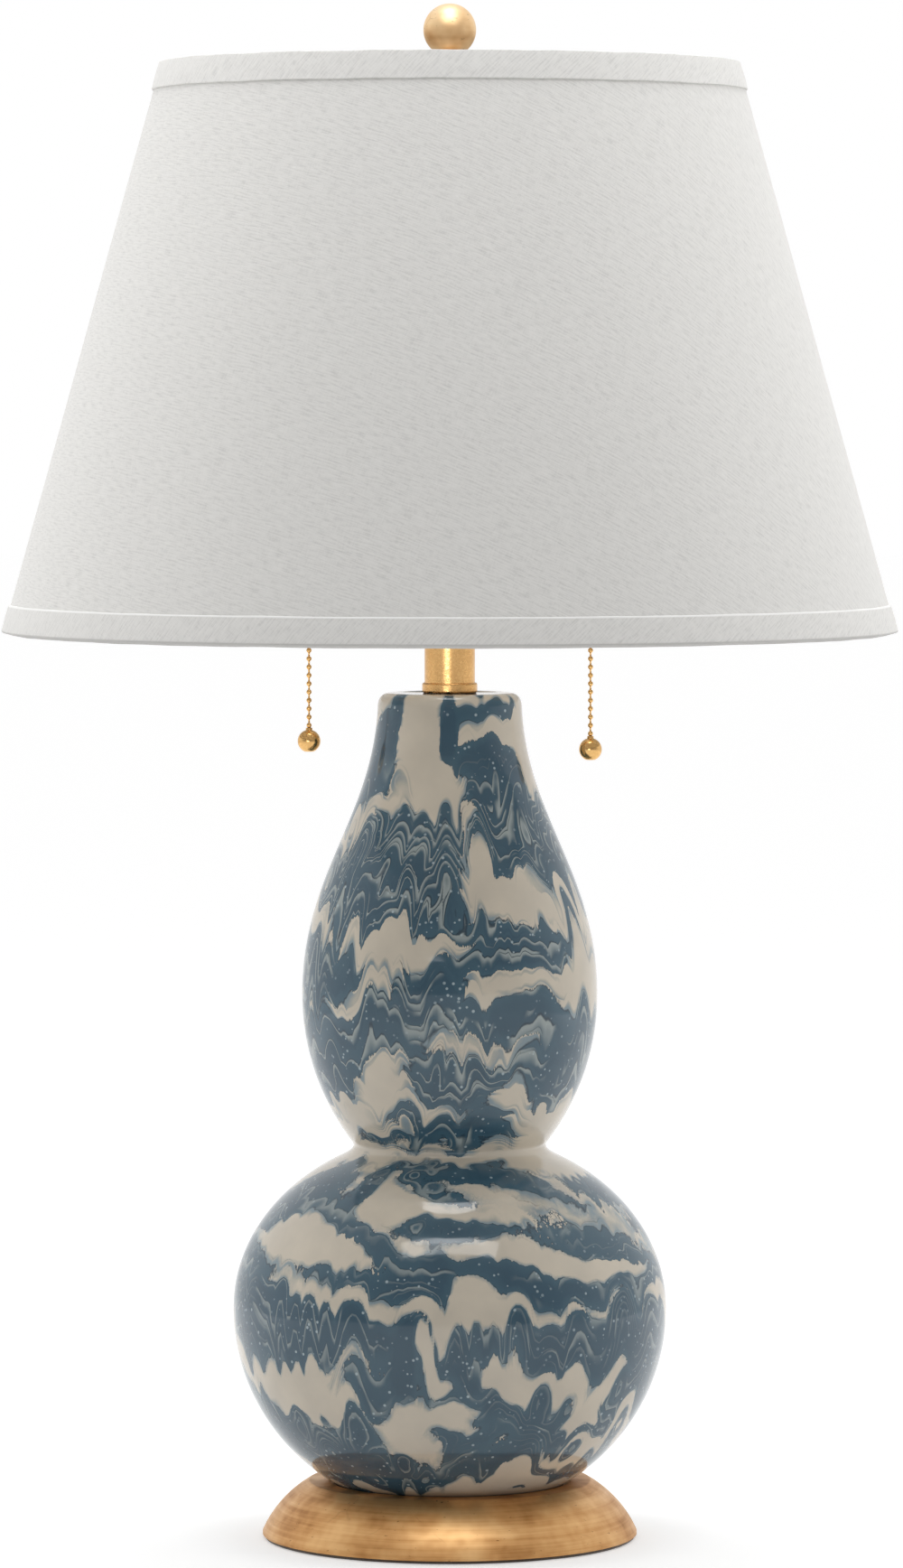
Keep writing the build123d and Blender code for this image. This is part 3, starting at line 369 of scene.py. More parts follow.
def leafMaterial(name, kind):  # gold leaf: brushed streaks round the axis, open laps and worn specks
    p = Mixer(bpy.data.materials.new(name))
    spot = p.place()
    streaks = p.stretch(spot, leaf["brushGrain"], leaf["brushGrain"], kind["streaks"])
    brush = p.noise(streaks, detail=3.0, roughness=0.6)
    tone = p.blend(brush, p.noise(spot, leaf["cloudGrain"], detail=3.0, roughness=0.6), leaf["brushPart"])
    color = p.ramp(tone, tuple(zip(leaf["tones"], (kind["dark"], kind["mid"], kind["bright"]))))
    wander = p.stretch(p.noise(spot, leaf["wanderGrain"], output="Color"), *[leaf["wander"]] * 3)
    laps = {"Vector": p.vector("ADD", spot, wander), "Scale": kind["laps"]}
    laps = p.remap(p.add("TexVoronoi", laps, feature="DISTANCE_TO_EDGE"), *leaf["lapEdge"])
    worn = p.remap(p.noise(spot, leaf["wornGrain"]), *leaf["worn"])
    color = p.mix(p.times(laps, worn, kind["gap"]), color, leaf["bole"])
    rub = p.remap(p.noise(p.stretch(spot, *leaf["rubGrain"]), roughness=0.6), *leaf["rub"])
    color = p.mix(p.times(rub, leaf["rubShare"]), color, leaf["bole"])
    return p.finish(Base_Color=color, Metallic=1.0, Roughness=p.remap(tone, *noiseRange, *leaf["rough"]),
                    Normal=p.bump(brush, *leaf["relief"]))


metals = {
    "brass": {"name": "turnedBrass", "bright": fromBytes(236, 199, 146), "dull": fromBytes(184, 140, 86),
              "rough": 0.25, "lines": (60.0, 60.0, 900.0), "tarnish": 0.35},
    "tube": {"name": "satinBrass", "bright": fromBytes(232, 186, 124), "dull": fromBytes(172, 120, 66),
             "rough": 0.27, "lines": (900.0, 900.0, 1300.0), "tarnish": 0.45},
    "chain": {"name": "polishedBrass", "bright": fromBytes(234, 190, 124), "dull": fromBytes(160, 108, 54),
              "rough": 0.16, "lines": (500.0, 500.0, 500.0), "tarnish": 0.4},
    "steel": {"name": "zincSteel", "bright": (0.62, 0.61, 0.58), "dull": (0.42, 0.42, 0.41),
              "rough": 0.35, "lines": (700.0, 700.0, 700.0), "tarnish": 0.5},
    "bulb_metal": {"name": "rolledAluminium", "bright": (0.82, 0.82, 0.82), "dull": (0.6, 0.6, 0.6),
                   "rough": 0.25, "lines": (60.0, 900.0, 900.0), "tarnish": 0.5},
    "frame_wire": {"name": "lacqueredWire", "bright": fromBytes(196, 158, 100),
                   "dull": fromBytes(146, 108, 60), "rough": 0.34, "lines": (400.0, 400.0, 400.0),
                   "tarnish": 0.5},
}
metalGrain = {"cloud": 60.0, "linePart": 0.6, "tones": (0.3, 0.5, 0.64), "rough": (1.3, 0.8),
              "relief": (0.08, 0.0002)}


def metalMaterial(name, bright, dull, rough, lines, tarnish):  # metal with fine rings or scratches
    p = Mixer(bpy.data.materials.new(name))
    spot = p.place()
    marks = p.noise(p.stretch(spot, *lines), detail=3.0, roughness=0.6)
    cloud = p.noise(spot, metalGrain["cloud"], detail=3.0, roughness=0.6)
    tone = p.blend(marks, cloud, metalGrain["linePart"])
    between = tuple((a + b) / 2 for a, b in zip(bright, dull))
    color = p.mix(tarnish, bright, p.ramp(tone, tuple(zip(metalGrain["tones"], (dull, between, bright)))))
    rough = p.remap(tone, *noiseRange, *(rough * share for share in metalGrain["rough"]))
    return p.finish(Base_Color=color, Metallic=1.0, Roughness=rough,
                    Normal=p.bump(marks, *metalGrain["relief"]))


matts = {
    "felt": {"name": "woolFelt", "dark": fromBytes(66, 60, 54), "pale": fromBytes(104, 96, 88),
             "grain": 1500.0, "rough": 0.97, "rise": 0.8, "Sheen_Weight": 0.4},
    "bushing": {"name": "nylon", "dark": fromBytes(70, 58, 44), "pale": fromBytes(92, 78, 62),
                "grain": 900.0, "rough": 0.5, "rise": 0.2},
    "gasket": {"name": "rubber", "dark": (0.03, 0.03, 0.03), "pale": (0.06, 0.06, 0.06),
               "grain": 1200.0, "rough": 0.8, "rise": 0.2},
    "fibre": {"name": "fibrePaper", "dark": fromBytes(120, 104, 82), "pale": fromBytes(158, 140, 112),
              "grain": 700.0, "rough": 0.85, "rise": 0.4},
    "phenolic": {"name": "phenolic", "dark": (0.03, 0.026, 0.022), "pale": (0.06, 0.054, 0.048),
                 "grain": 500.0, "rough": 0.35, "rise": 0.2},
    "lining": {"name": "styrene", "dark": (0.82, 0.815, 0.8), "pale": (0.88, 0.875, 0.86),
               "grain": 260.0, "rough": 0.55, "rise": 0.06},
    "bulb_glass": {"name": "frostedGlass", "dark": (0.86, 0.86, 0.85), "pale": (0.92, 0.92, 0.91),
                   "grain": 420.0, "rough": 0.28, "rise": 0.03, "Coat_Weight": 0.3},
}
mattGrain = {"coarser": 12.0, "gritPart": 0.5, "rough": (0.85, 1.15), "depth": 0.0003}  # clouds against grit


def mattMaterial(name, dark, pale, grain, rough, rise, **more):  # moulded, pressed or frosted stuff
    p = Mixer(bpy.data.materials.new(name))
    spot = p.place()
    grit = p.noise(spot, grain, detail=4.0, roughness=0.6)
    tone = p.blend(grit, p.noise(spot, grain / mattGrain["coarser"]), mattGrain["gritPart"])
    color = p.ramp(tone, tuple(zip(noiseRange, (dark, pale))))
    rough = p.remap(grit, *noiseRange, *(min(1.0, rough * share) for share in mattGrain["rough"]))
    return p.finish(Base_Color=color, Roughness=rough, Normal=p.bump(grit, rise, mattGrain["depth"]), **more)


# the shade's cone, which the linen's weave and the shade's pieces share
cone = {"foot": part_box("shade_linen")[0].z, "footRadius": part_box("shade_linen")[1].x, "topRadius": 0.1312,
        "height": 0.2562}
cone["slope"] = math.hypot(cone["footRadius"] - cone["topRadius"], cone["height"])
cone["sine"] = (cone["footRadius"] - cone["topRadius"]) / cone["slope"]
cone["cosine"] = cone["height"] / cone["slope"]
cone["apex"] = cone["foot"] + cone["footRadius"] * cone["height"] / (cone["footRadius"] - cone["topRadius"])
cloth = {
    "color": (0.79, 0.78, 0.755), "dark": 0.86, "light": 1.05, "tones": (0.28, 0.5, 0.72),
    "grain": -22.0, "tapeGrain": 47.0,  # degrees from the slope, at the front
    "pitch": 0.00058,  # of two threads
    # grain across and along the cloth, and a seed
    "slub": (150.0, 1350.0, 0.0), "rib": (1200.0, 260.0, 3.0), "nub": (160.0, 900.0, 7.0),
    "slubPart": 0.72, "nubs": (0.72, 0.8), "nubShare": 0.35, "nubTone": (0.9, 0.89, 0.87),
    "driftGrain": 160.0, "drift": 9.0, "weaveRise": 0.2, "nubRise": 0.4, "relief": (0.36, 0.0004),
    # the bottom tape has a painted highlight along its upper fold and painted shade round the wire at the shade's
    # bottom edge
    "tape": 0.012, "fold": (0.0011, 0.00044), "pale": (0.97, 0.965, 0.95), "foldHighlightShare": 0.85,
    "wire": (-0.0004, 0.0006), "rimShadeTone": (0.56, 0.55, 0.53),
}


def linenMaterial(name, grain, folded=False):  # plain weave laid out on the flat cut of the cone
    c = cloth
    p = Mixer(bpy.data.materials.new(name))
    spot = p.place()
    x, y, z = p.split(spot)
    turn = p.math("ARCTAN2", x, p.times(y, -1.0))  # nothing at the front, the jump is at the seam behind
    swing = p.math("MULTIPLY_ADD", turn, cone["sine"], -math.radians(grain))
    slant = p.math("DIVIDE", p.math("SUBTRACT", cone["apex"], z), cone["cosine"])
    weft = p.times(slant, p.math("SINE", swing))
    warp = p.times(slant, p.math("COSINE", swing))

    def threads(across, along, seed):  # noise drawn out along the threads
        return p.noise(p.join(p.times(weft, across), p.times(warp, along), seed), detail=1.0)

    tone = p.blend(threads(*c["slub"]), threads(*c["rib"]), c["slubPart"])
    tints = [tuple(min(1.0, share * value) for value in c["color"]) for share in (c["dark"], 1.0, c["light"])]
    color = p.ramp(tone, tuple(zip(c["tones"], tints)))
    nub = p.remap(threads(*c["nub"]), *c["nubs"])
    color = p.mix(p.times(nub, c["nubShare"]), color, c["nubTone"])
    # the bias tape also gets painted light: a highlight on its upper fold and shade at the bottom edge
    if folded:
        rim = (cone["apex"] - cone["foot"]) / cone["cosine"]  # the slant at the shade's bottom edge
        # painted highlight: a pale band along the bottom tape's upper fold, where it would catch the light
        fold = p.remap(slant, *(rim - c["tape"] + edge for edge in c["fold"]))
        fold = p.times(fold, p.math("GREATER_THAN", slant, rim - 2 * c["tape"]))  # not on the top tape
        color = p.mix(p.times(fold, c["foldHighlightShare"]), color, c["pale"])
        # painted shade: the tape darkens round the wire at the bottom edge, where its underside is in shadow
        color = p.mix(p.remap(slant, *(rim + edge for edge in c["wire"])), color, c["rimShadeTone"])
    wave = 2 * math.pi / c["pitch"]
    drift = p.times(p.noise(spot, c["driftGrain"]), c["drift"])
    weave = p.times(*(p.math("SINE", p.math("MULTIPLY_ADD", way, wave, drift)) for way in (weft, warp)))
    height = p.math("MULTIPLY_ADD", weave, c["weaveRise"], p.math("MULTIPLY_ADD", nub, c["nubRise"], tone))
    return p.finish(Base_Color=color, Roughness=0.92, Sheen_Weight=0.12, Normal=p.bump(height, *c["relief"]))


finishes = {
    "glaze": glazeMaterial(),
    "gilded_wood": leafMaterial("leafOnWood", leaf["foot"]),
    "gilded_metal": leafMaterial("leafOnBall", leaf["ball"]),
    "linen": linenMaterial("shadeLinen", cloth["grain"]),
    "trim": linenMaterial("biasLinen", cloth["tapeGrain"], folded=True),
}
finishes.update((slot, metalMaterial(**row)) for slot, row in metals.items())
finishes.update((slot, mattMaterial(**row)) for slot, row in matts.items())
for nodeName, node in cadNodes.items():
    finish = slotOf[nodeName]
    if finish == "brass" and ("chain" in nodeName or "ball" in nodeName):
        finish = "chain"
    if nodeName in ("neck_tube", "neck_collar"):
        finish = "tube"
    node.data.materials.clear()
    node.data.materials.append(finishes[finish])
print("finishes mixed:", len(finishes))


# tools for turned pieces
onAxis = 1e-7  # a point this near the axis is a single vertex


def lathe(name, outline, sides, closed=False, bend=None):  # spins (radius, height) points about the Z axis
    mesh = bmesh.new()
    rings = []
    for radius, height in outline:
        if radius < onAxis:
            rings.append([mesh.verts.new((0, 0, height))])
            continue
        ring = []
        for k in range(sides):
            turn = 2 * math.pi * k / sides
            r, z = bend(radius, height, turn) if bend else (radius, height)
            ring.append(mesh.verts.new((r * math.sin(turn), -r * math.cos(turn), z)))
        rings.append(ring)
    pairs = list(zip(rings, rings[1:]))
    if closed:
        pairs.append((rings[-1], rings[0]))
    for lower, upper in pairs:
        for k in range(sides):
            corners = (lower[k % len(lower)], lower[(k + 1) % len(lower)],
                       upper[(k + 1) % len(upper)], upper[k % len(upper)])
            mesh.faces.new(dict.fromkeys(corners)).smooth = True
    bmesh.ops.recalc_face_normals(mesh, faces=mesh.faces)
    data = bpy.data.meshes.new(name)
    mesh.to_mesh(data)
    mesh.free()
    piece = bpy.data.objects.new(name, data)
    bpy.context.scene.collection.objects.link(piece)
    return piece


def dress(piece, body, finish, node):  # gives a piece its finish, its body and the node it stands for
    piece.data.materials.append(finishes[finish])
    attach(piece, body)
    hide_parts(node)
    return piece


def arc(centre, radius, start, end, count):  # points on part of a circle, angles in degrees
    turns = [math.radians(start + (end - start) * i / (count - 1)) for i in range(count)]
    return [(centre[0] + radius * math.cos(a), centre[1] + radius * math.sin(a)) for a in turns]


def evenly(points, step):  # the same line with points one step apart
    line = np.array(points)
    along = np.concatenate(([0], np.cumsum(np.hypot(*np.diff(line, axis=0).T))))
    marks = np.linspace(0, along[-1], max(2, int(round(along[-1] / step)) + 1))
    return list(zip(np.interp(marks, along, line[:, 0]), np.interp(marks, along, line[:, 1])))


def clamped(share):
    return min(1.0, max(0.0, share))


def rippled(turn, grain, seed):  # noise on a circle round the axis
    return noise.noise(Vector((grain * math.sin(turn), grain * math.cos(turn), seed)))


# gourd
gourd = {
    "bottom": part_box("gourd_body")[0].z, "top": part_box("gourd_body")[1].z, "hole": 0.008, "footInset": 0.001,
    "bellyZ": 0.105, "bellyRadius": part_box("gourd_body")[1].x, "bellyRise": 0.081, "bellyDrop": 0.0945,
    "upperZ": 0.2492, "upperRadius": 0.0675, "upperRound": 0.111, "shoulder": 0.058, "throat": 0.056,
    "neckRadius": 0.0328, "lipRound": 0.005, "waistStart": 0.1584, "waistSoftness": 0.011,
    "fine": (300, 200, 200),  # points along the belly, the waist and the neck, before they are spaced evenly
    "sides": 288, "step": 0.00148,
}
# strokes of the pour: degrees round from the front, height in metres, half of the width and height, slope
pours = {
    "blue": (
        # neck and upper bulb
        (-1, 0.374, 6, 0.016, 0), (-46, 0.381, 5, 0.007, 0), (-62, 0.366, 13, 0.010, 0),
        (33, 0.3795, 24, 0.0024, 0), (30, 0.356, 21, 0.011, 0), (-42, 0.345, 20, 0.003, 0.1),
        (-24, 0.322, 27, 0.018, 0), (33, 0.326, 28, 0.018, -0.1), (-40, 0.298, 28, 0.017, 0),
        (-9, 0.300, 14, 0.014, 0), (55, 0.308, 22, 0.010, -0.1), (-6, 0.252, 15, 0.015, 0),
        (28, 0.274, 24, 0.010, 0), (-56, 0.263, 17, 0.012, 0), (28, 0.241, 22, 0.010, 0),
        (-36, 0.236, 24, 0.010, 0), (6, 0.213, 25, 0.012, 0), (-58, 0.215, 16, 0.008, 0.1),
        (52, 0.222, 18, 0.010, 0), (2, 0.188, 28, 0.007, 0),
        # shoulder of the lower bulb
        (-36, 0.1625, 5, 0.007, 0.9), (-66, 0.164, 15, 0.010, 0.3), (6, 0.171, 26, 0.0026, -0.12),
        (2, 0.163, 26, 0.002, -0.3), (1, 0.1516, 17, 0.0036, -0.05), (36, 0.1484, 17, 0.0036, -0.2),
        (46, 0.143, 14, 0.0030, -0.3), (66, 0.1215, 16, 0.003, 0), (52, 0.160, 14, 0.003, -0.5),
        (-28, 0.1466, 19, 0.004, -0.45), (-3.5, 0.130, 4.5, 0.016, 0), (-10, 0.1245, 5, 0.012, -0.3),
        (-31, 0.129, 14, 0.0028, -0.1), (24, 0.125, 20, 0.0052, -0.32),
        # belly
        (-37, 0.106, 23, 0.0135, -0.12), (-12.5, 0.085, 4, 0.020, 0), (-62, 0.100, 14, 0.016, 0),
        (33, 0.0996, 19, 0.0125, 0), (58, 0.094, 14, 0.018, 0), (4, 0.0985, 3, 0.010, 0),
        (9, 0.1035, 8, 0.0035, -0.1), (6, 0.0865, 9, 0.003, -0.5), (13, 0.074, 2.5, 0.012, 0),
        (1, 0.0745, 9, 0.0012, 0),
        # underneath
        (-41, 0.0565, 17, 0.0078, -0.1), (-22, 0.070, 7, 0.009, -0.5), (11, 0.0645, 9, 0.0028, 0),
        (26, 0.0615, 6, 0.013, 0), (36, 0.056, 9, 0.006, -0.4), (1, 0.050, 4, 0.004, 0),
        (10, 0.0515, 6, 0.0028, -0.1), (-24, 0.044, 14, 0.0022, 0), (22, 0.044, 8, 0.006, 0),
        (-32, 0.036, 24, 0.0034, 0.1), (34, 0.037, 16, 0.0034, 0), (60, 0.066, 14, 0.009, 0),
    ),
    "cream": (
        # neck and upper bulb
        (-25, 0.374, 17, 0.016, 0), (40, 0.3722, 28, 0.0044, 0), (72, 0.368, 16, 0.018, 0),
        (32, 0.3864, 26, 0.0028, 0), (-78, 0.383, 22, 0.006, 0), (-8, 0.345, 20, 0.012, -0.2),
        (-44, 0.338, 16, 0.007, 0.3), (12, 0.331, 10, 0.010, -0.4), (30, 0.297, 29, 0.009, -0.1),
        (-62, 0.284, 14, 0.006, 0), (-16, 0.274, 27, 0.007, 0), (20, 0.256, 18, 0.005, 0.1),
        (60, 0.257, 15, 0.011, 0), (-38, 0.250, 12, 0.004, 0.2), (4, 0.231, 22, 0.004, 0),
        (-28, 0.210, 13, 0.012, 0), (27, 0.209, 11, 0.010, 0), (-12, 0.199, 14, 0.005, 0),
        (-56, 0.188, 26, 0.009, 0), (58, 0.189, 26, 0.009, 0),
        # shoulder of the lower bulb
        (-46, 0.1435, 23, 0.0105, -0.3), (-22, 0.158, 14, 0.009, 0), (12, 0.1668, 20, 0.0028, -0.15),
        (4, 0.1575, 20, 0.0028, -0.1), (-5, 0.1425, 9, 0.004, -0.1), (14, 0.139, 12, 0.0035, -0.15),
        (-14, 0.1365, 12, 0.0022, -0.5), (37, 0.1345, 26, 0.0034, -0.22), (5, 0.1225, 7, 0.010, 0.2),
        (-31, 0.1205, 19, 0.0042, -0.35), (36, 0.1125, 26, 0.0032, -0.1), (0, 0.177, 90, 0.003, 0),
        (50, 0.1632, 13, 0.0030, -0.55), (61, 0.1530, 10, 0.0036, -0.5), (25, 0.1535, 19, 0.0046, -0.2),
        (41, 0.1462, 14, 0.0016, -0.25),
        # belly
        (-4, 0.1085, 8, 0.009, 0), (15, 0.090, 4, 0.012, 0), (-5.5, 0.0835, 5.5, 0.0075, 0),
        (17.7, 0.0805, 5.5, 0.008, 0), (31.5, 0.077, 5.5, 0.008, 0), (-36, 0.090, 12, 0.0022, 0.2),
        (-50, 0.086, 12, 0.0026, -0.3), (-39, 0.0705, 22, 0.0058, -0.15),
        # underneath
        (-14, 0.062, 7, 0.010, 0), (1.5, 0.0655, 9.5, 0.008, 0), (47, 0.070, 10, 0.008, 0.2),
        (-6, 0.048, 10, 0.0045, 0), (17, 0.047, 5, 0.0045, 0), (46, 0.046, 14, 0.005, 0),
        (0, 0.0285, 90, 0.0016, 0),
    ),
}
flow = {  # each pair is for the lower and the upper bulb
    "drip": {"reach": (0.075, 0.058), "span": 66.0, "hang": 4.5, "seeds": (5.3, 12.6)},
    "curl": {"reach": (0.012, 0.014), "span": 120.0, "hang": 14.0, "seed": 17.9},
    "middle": 0.2,  # drips and curls reach up and down from here
    # some patches drip more than others
    "patch": {"span": 19.0, "seed": 31.7, "mean": 0.75, "range": 1.3, "least": 0.45, "most": 1.15},
    # the lower bulb's shoulder hardly drips, its belly does, and the neck shows the pour as laid
    "calm": {"from": 0.132, "to": 0.108, "least": 0.16},
    "neck": {"from": 0.335, "to": 0.362, "still": 0.85, "hold": 0.9},
    "sway": {"reach": 0.006, "span": 22.0, "seed": 43.1},  # metres up and down
    "swirl": {"reach": 4.0, "span": 22.0, "seed": 61.7},  # degrees round the axis
    "drag": (0.45, 0.6), "hold": (1.0, 0.95), "most": 0.012,  # how far drips pull the strokes, their strength
    "rear": {"turn": 172.0, "lift": 0.006, "waves": 3, "overlap": 0.3},  # the same pour turned to the back
    "blend": 0.0016, "slopeRadius": 0.08, "faint": 1e-30,  # beyond this faintness no stroke counts
    "mend": (0.168, 0.198),  # the lower bulb's flow turns into the upper one's over this height
}


def gourdOutline():
    g = gourd

    def belly(z):
        reach = g["bellyDrop"] if z < g["bellyZ"] else g["bellyRise"]
        return g["bellyRadius"] * math.sqrt(max(0.0, 1 - ((z - g["bellyZ"]) / reach) ** 2))

    def bulb(z):
        return g["upperRadius"] - g["upperRound"] + math.sqrt(g["upperRound"] ** 2 - (g["upperZ"] - z) ** 2)

    def waisted(z):  # the two bulbs run together softly
        low, high = belly(z), bulb(z)
        meet = max(0.0, 1 - abs(low - high) / g["waistSoftness"])
        return max(low, high) + meet ** 2 * g["waistSoftness"] / 4

    bellyCount, waistCount, neckCount = g["fine"]
    line = [(belly(g["bottom"]) - g["footInset"], g["bottom"])]
    line += [(belly(z), z) for z in np.linspace(g["bottom"], g["waistStart"], bellyCount + 1)[1:-1]]
    line += [(waisted(z), z) for z in np.linspace(g["waistStart"], g["upperZ"], waistCount + 1)[:-1]]
    ends = ((g["upperRadius"], g["upperZ"]), (g["upperRadius"], g["upperZ"] + g["shoulder"]),
            (g["neckRadius"], g["top"] - g["throat"]), (g["neckRadius"], g["top"]))
    for t in np.linspace(0, 1, neckCount + 1):  # the neck is one Bezier curve up to the round of the lip
        weights = ((1 - t) ** 3, 3 * t * (1 - t) ** 2, 3 * t * t * (1 - t), t ** 3)
        radius, z = (sum(w * end[k] for w, end in zip(weights, ends)) for k in range(2))
        if z < g["top"] - g["lipRound"]:
            line.append((radius, z))
    line += arc((g["neckRadius"] - g["lipRound"], g["top"] - g["lipRound"]), g["lipRound"], 0, 90, count=12)
    return [(g["hole"], g["bottom"])] + evenly(line, g["step"]) + [(g["hole"], g["top"])]


def pourField(turn, level, strokes):  # how far inside the nearest stroke each point is, in metres
    total = np.zeros_like(turn)
    for azimuth, height, width, thickness, slope in strokes:
        away = (turn - azimuth + 180) % 360 - 180
        rise = level - height - slope * np.radians(away) * flow["slopeRadius"]
        inside = thickness * (1 - np.hypot(away / width, rise / thickness))
        total += np.exp(inside / flow["blend"])
    return flow["blend"] * np.log(total + flow["faint"])


def eased(values, low, high):
    share = np.clip((values - low) / (high - low), 0, 1)
    return share * share * (3 - 2 * share)


def pourGlaze(piece):  # works out the flow of the glaze at each vertex and stores it on the mesh
    f, drip, curl = flow, flow["drip"], flow["curl"]
    patch, calm, rear = flow["patch"], flow["calm"], flow["rear"]
    places = [v.co.copy() for v in piece.data.vertices]
    spots = np.array([tuple(p) for p in places])
    height = spots[:, 2]
    upper = eased(height, *f["mend"])
    neck = eased(height, f["neck"]["from"], f["neck"]["to"])

    def grain(span, hang, seed):
        return np.array([noise.noise(Vector((p.x * span + seed, p.y * span - seed, p.z * hang + seed)))
                         for p in places])

    def arched(row, seed):  # round above and pointed below, as a drip is
        return np.abs(grain(row["span"], row["hang"], seed)) - f["middle"]

    def strayed(row):
        return row["reach"] * grain(row["span"], row["span"], row["seed"])

    def both(pair):
        return pair[0] + upper * (pair[1] - pair[0])

    lively = calm["least"] + (1 - calm["least"]) * eased(-height, -calm["from"], -calm["to"])
    lively = (lively + upper * (1 - lively)) * (1 - f["neck"]["still"] * neck)
    patches = patch["mean"] + patch["range"] * grain(patch["span"], patch["span"], patch["seed"])
    fall = lively * np.clip(patches, patch["least"], patch["most"]) * both(drip["reach"])
    fall *= both([arched(drip, seed) for seed in drip["seeds"]])
    fall += arched(curl, curl["seed"]) * both(curl["reach"])
    sway = (1 - neck) * strayed(f["sway"])
    level = height - fall + sway
    laid = height - both(f["drag"]) * fall + sway
    turn = np.degrees(np.arctan2(spots[:, 0], -spots[:, 1])) + strayed(f["swirl"])
    lifted = laid + rear["lift"] * np.sin(np.radians(rear["waves"] * turn))
    halves = []
    for way, rise in ((turn, laid), (turn + rear["turn"], lifted)):
        found = pourField(way, rise, pours["blue"]) - pourField(way, rise, pours["cream"])
        halves.append(np.clip(found, -f["most"], f["most"]))
    facing = eased(np.cos(np.radians(turn)), -rear["overlap"], rear["overlap"])
    bias = halves[1] + facing * (halves[0] - halves[1])  # the two pours run into each other at the sides
    bias *= both(f["hold"]) + f["neck"]["hold"] * neck
    for name, values in (("level", level), ("bias", bias), ("upperBulb", upper)):
        store = piece.data.attributes.new(name, "FLOAT", "POINT")
        store.data.foreach_set("value", values.astype(np.float32))


gourdPiece = lathe("gourd_glazed", gourdOutline(), gourd["sides"], closed=True)
pourGlaze(gourdPiece)
dress(gourdPiece, "lamp", "glaze", "gourd_body")
print("gourd turned and glazed:", len(gourdPiece.data.polygons), "faces")


# pull chains and their balls
chain = {"pitch": 0.0038, "bead": 0.0012, "link": 0.00042, "leadTop": 0.464, "gap": 0.0002, "sides": 20,
         "counts": {"left": 16, "right": 17}}  # beads below each swing's axis
knob = {"radius": 0.00525, "drop": 0.0072, "flat": 0.0022, "collar": 0.0015, "collarRise": 0.0009,
        "rim": 0.00025, "bore": 0.00052, "boreDepth": 0.002, "chainDepth": 0.001, "sides": 56}


def beadOutline(beads, top, bottom):  # from the bottom up
    c = chain
    half = math.degrees(math.asin(c["link"] / c["bead"]))
    line = [(0.0, bottom), (c["link"], bottom)]
    for z in sorted(beads):
        line += arc((0.0, z), c["bead"], -90 + half, 90 - half, count=11)
    return line + [(c["link"], top), (0.0, top)]


def knobOutline(middle, top):  # a ball with a flat foot and a rimmed collar that holds the last link
    k = knob
    foot = math.acos(k["flat"] / k["radius"])
    neck = math.acos(k["collar"] / k["radius"])
    line = [(0.0, middle - k["radius"] * math.sin(foot))]
    line += arc((0.0, middle), k["radius"], -math.degrees(foot), math.degrees(neck), count=40)
    line += arc((k["collar"] - k["rim"], top - k["rim"]), k["rim"], 0, 90, count=6)
    return line + [(k["bore"], top), (k["bore"], top - k["boreDepth"]), (0.0, top - k["boreDepth"])]


for side in ("left", "right"):
    c = chain
    x, y, pivot = jointOf[side + "_swing"]["pos_m"]
    leadCount = int((c["leadTop"] - pivot) / c["pitch"]) + 1
    leadBeads = [pivot + c["pitch"] * i for i in range(leadCount)]
    hangBeads = [pivot - c["pitch"] * (i + 1) for i in range(c["counts"][side])]
    knobMiddle = hangBeads[-1] - knob["drop"]
    knobTop = knobMiddle + knob["radius"] + knob["collarRise"]
    leadLine = beadOutline(leadBeads, leadBeads[-1] + c["bead"], pivot - c["bead"])
    hangLine = beadOutline(hangBeads, pivot - c["bead"] - c["gap"], knobTop - knob["chainDepth"])
    lead = lathe(side + "_lead_beads", leadLine, c["sides"])
    hang = lathe(side + "_hanging_beads", hangLine, c["sides"])
    ball = lathe(side + "_pull_knob", knobOutline(knobMiddle, knobTop), knob["sides"])
    for piece in (lead, hang, ball):
        piece.data.transform(Matrix.Translation((x, y, 0.0)))
    dress(lead, side + "_lead", "chain", side + "_chain_lead")
    dress(hang, side + "_chain", "chain", side + "_pull_chain")
    dress(ball, side + "_chain", "chain", side + "_pull_ball")
print("chains strung")


# screw caps of the bulbs
capLow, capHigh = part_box("right_bulb_cap")
cap = {"start": capLow.x, "end": capHigh.x, "sleeve": 0.0822, "wall": 0.0005, "step": 0.0003, "sides": 96,
       "axis": (capLow.z + capHigh.z) / 2, "radius": (capHigh.z - capLow.z) / 2,
       "tip": 0.004, "tipRise": 0.0012, "tipRound": 0.0006, "shoulder": 0.0008, "shoulderRise": 0.0003,
       "pitch": 0.003629, "groove": 0.0005, "fade": 0.0012, "plainEnd": 0.002, "play": 0.0001}


def threadBend(radius, height, turn):  # a rolled right-hand thread that runs out at both ends
    c = cap
    if radius < c["radius"] - c["wall"] - c["play"]:
        return radius, height
    start = clamped((height - c["sleeve"] - c["fade"]) / c["fade"])
    end = clamped((c["end"] - c["plainEnd"] - height) / c["fade"])
    wave = 0.5 - 0.5 * math.cos(2 * math.pi * height / c["pitch"] - turn)
    return radius - c["groove"] * min(start, end) * wave, height


def capOutline():
    c = cap
    inner = c["radius"] - c["wall"]
    line = [(0.0, c["start"])]
    line += arc((c["tip"] - c["tipRound"], c["start"] + c["tipRound"]), c["tipRound"], -90, 0, count=6)
    line += [(c["tip"], c["start"] + c["tipRise"])]
    line += [(c["radius"] - c["shoulder"], c["sleeve"] - c["shoulderRise"])]
    line += evenly([(c["radius"], c["sleeve"]), (c["radius"], c["end"])], c["step"])
    line += evenly([(inner, c["end"]), (inner, c["sleeve"])], c["step"])
    return line + [(0.0, c["sleeve"])]


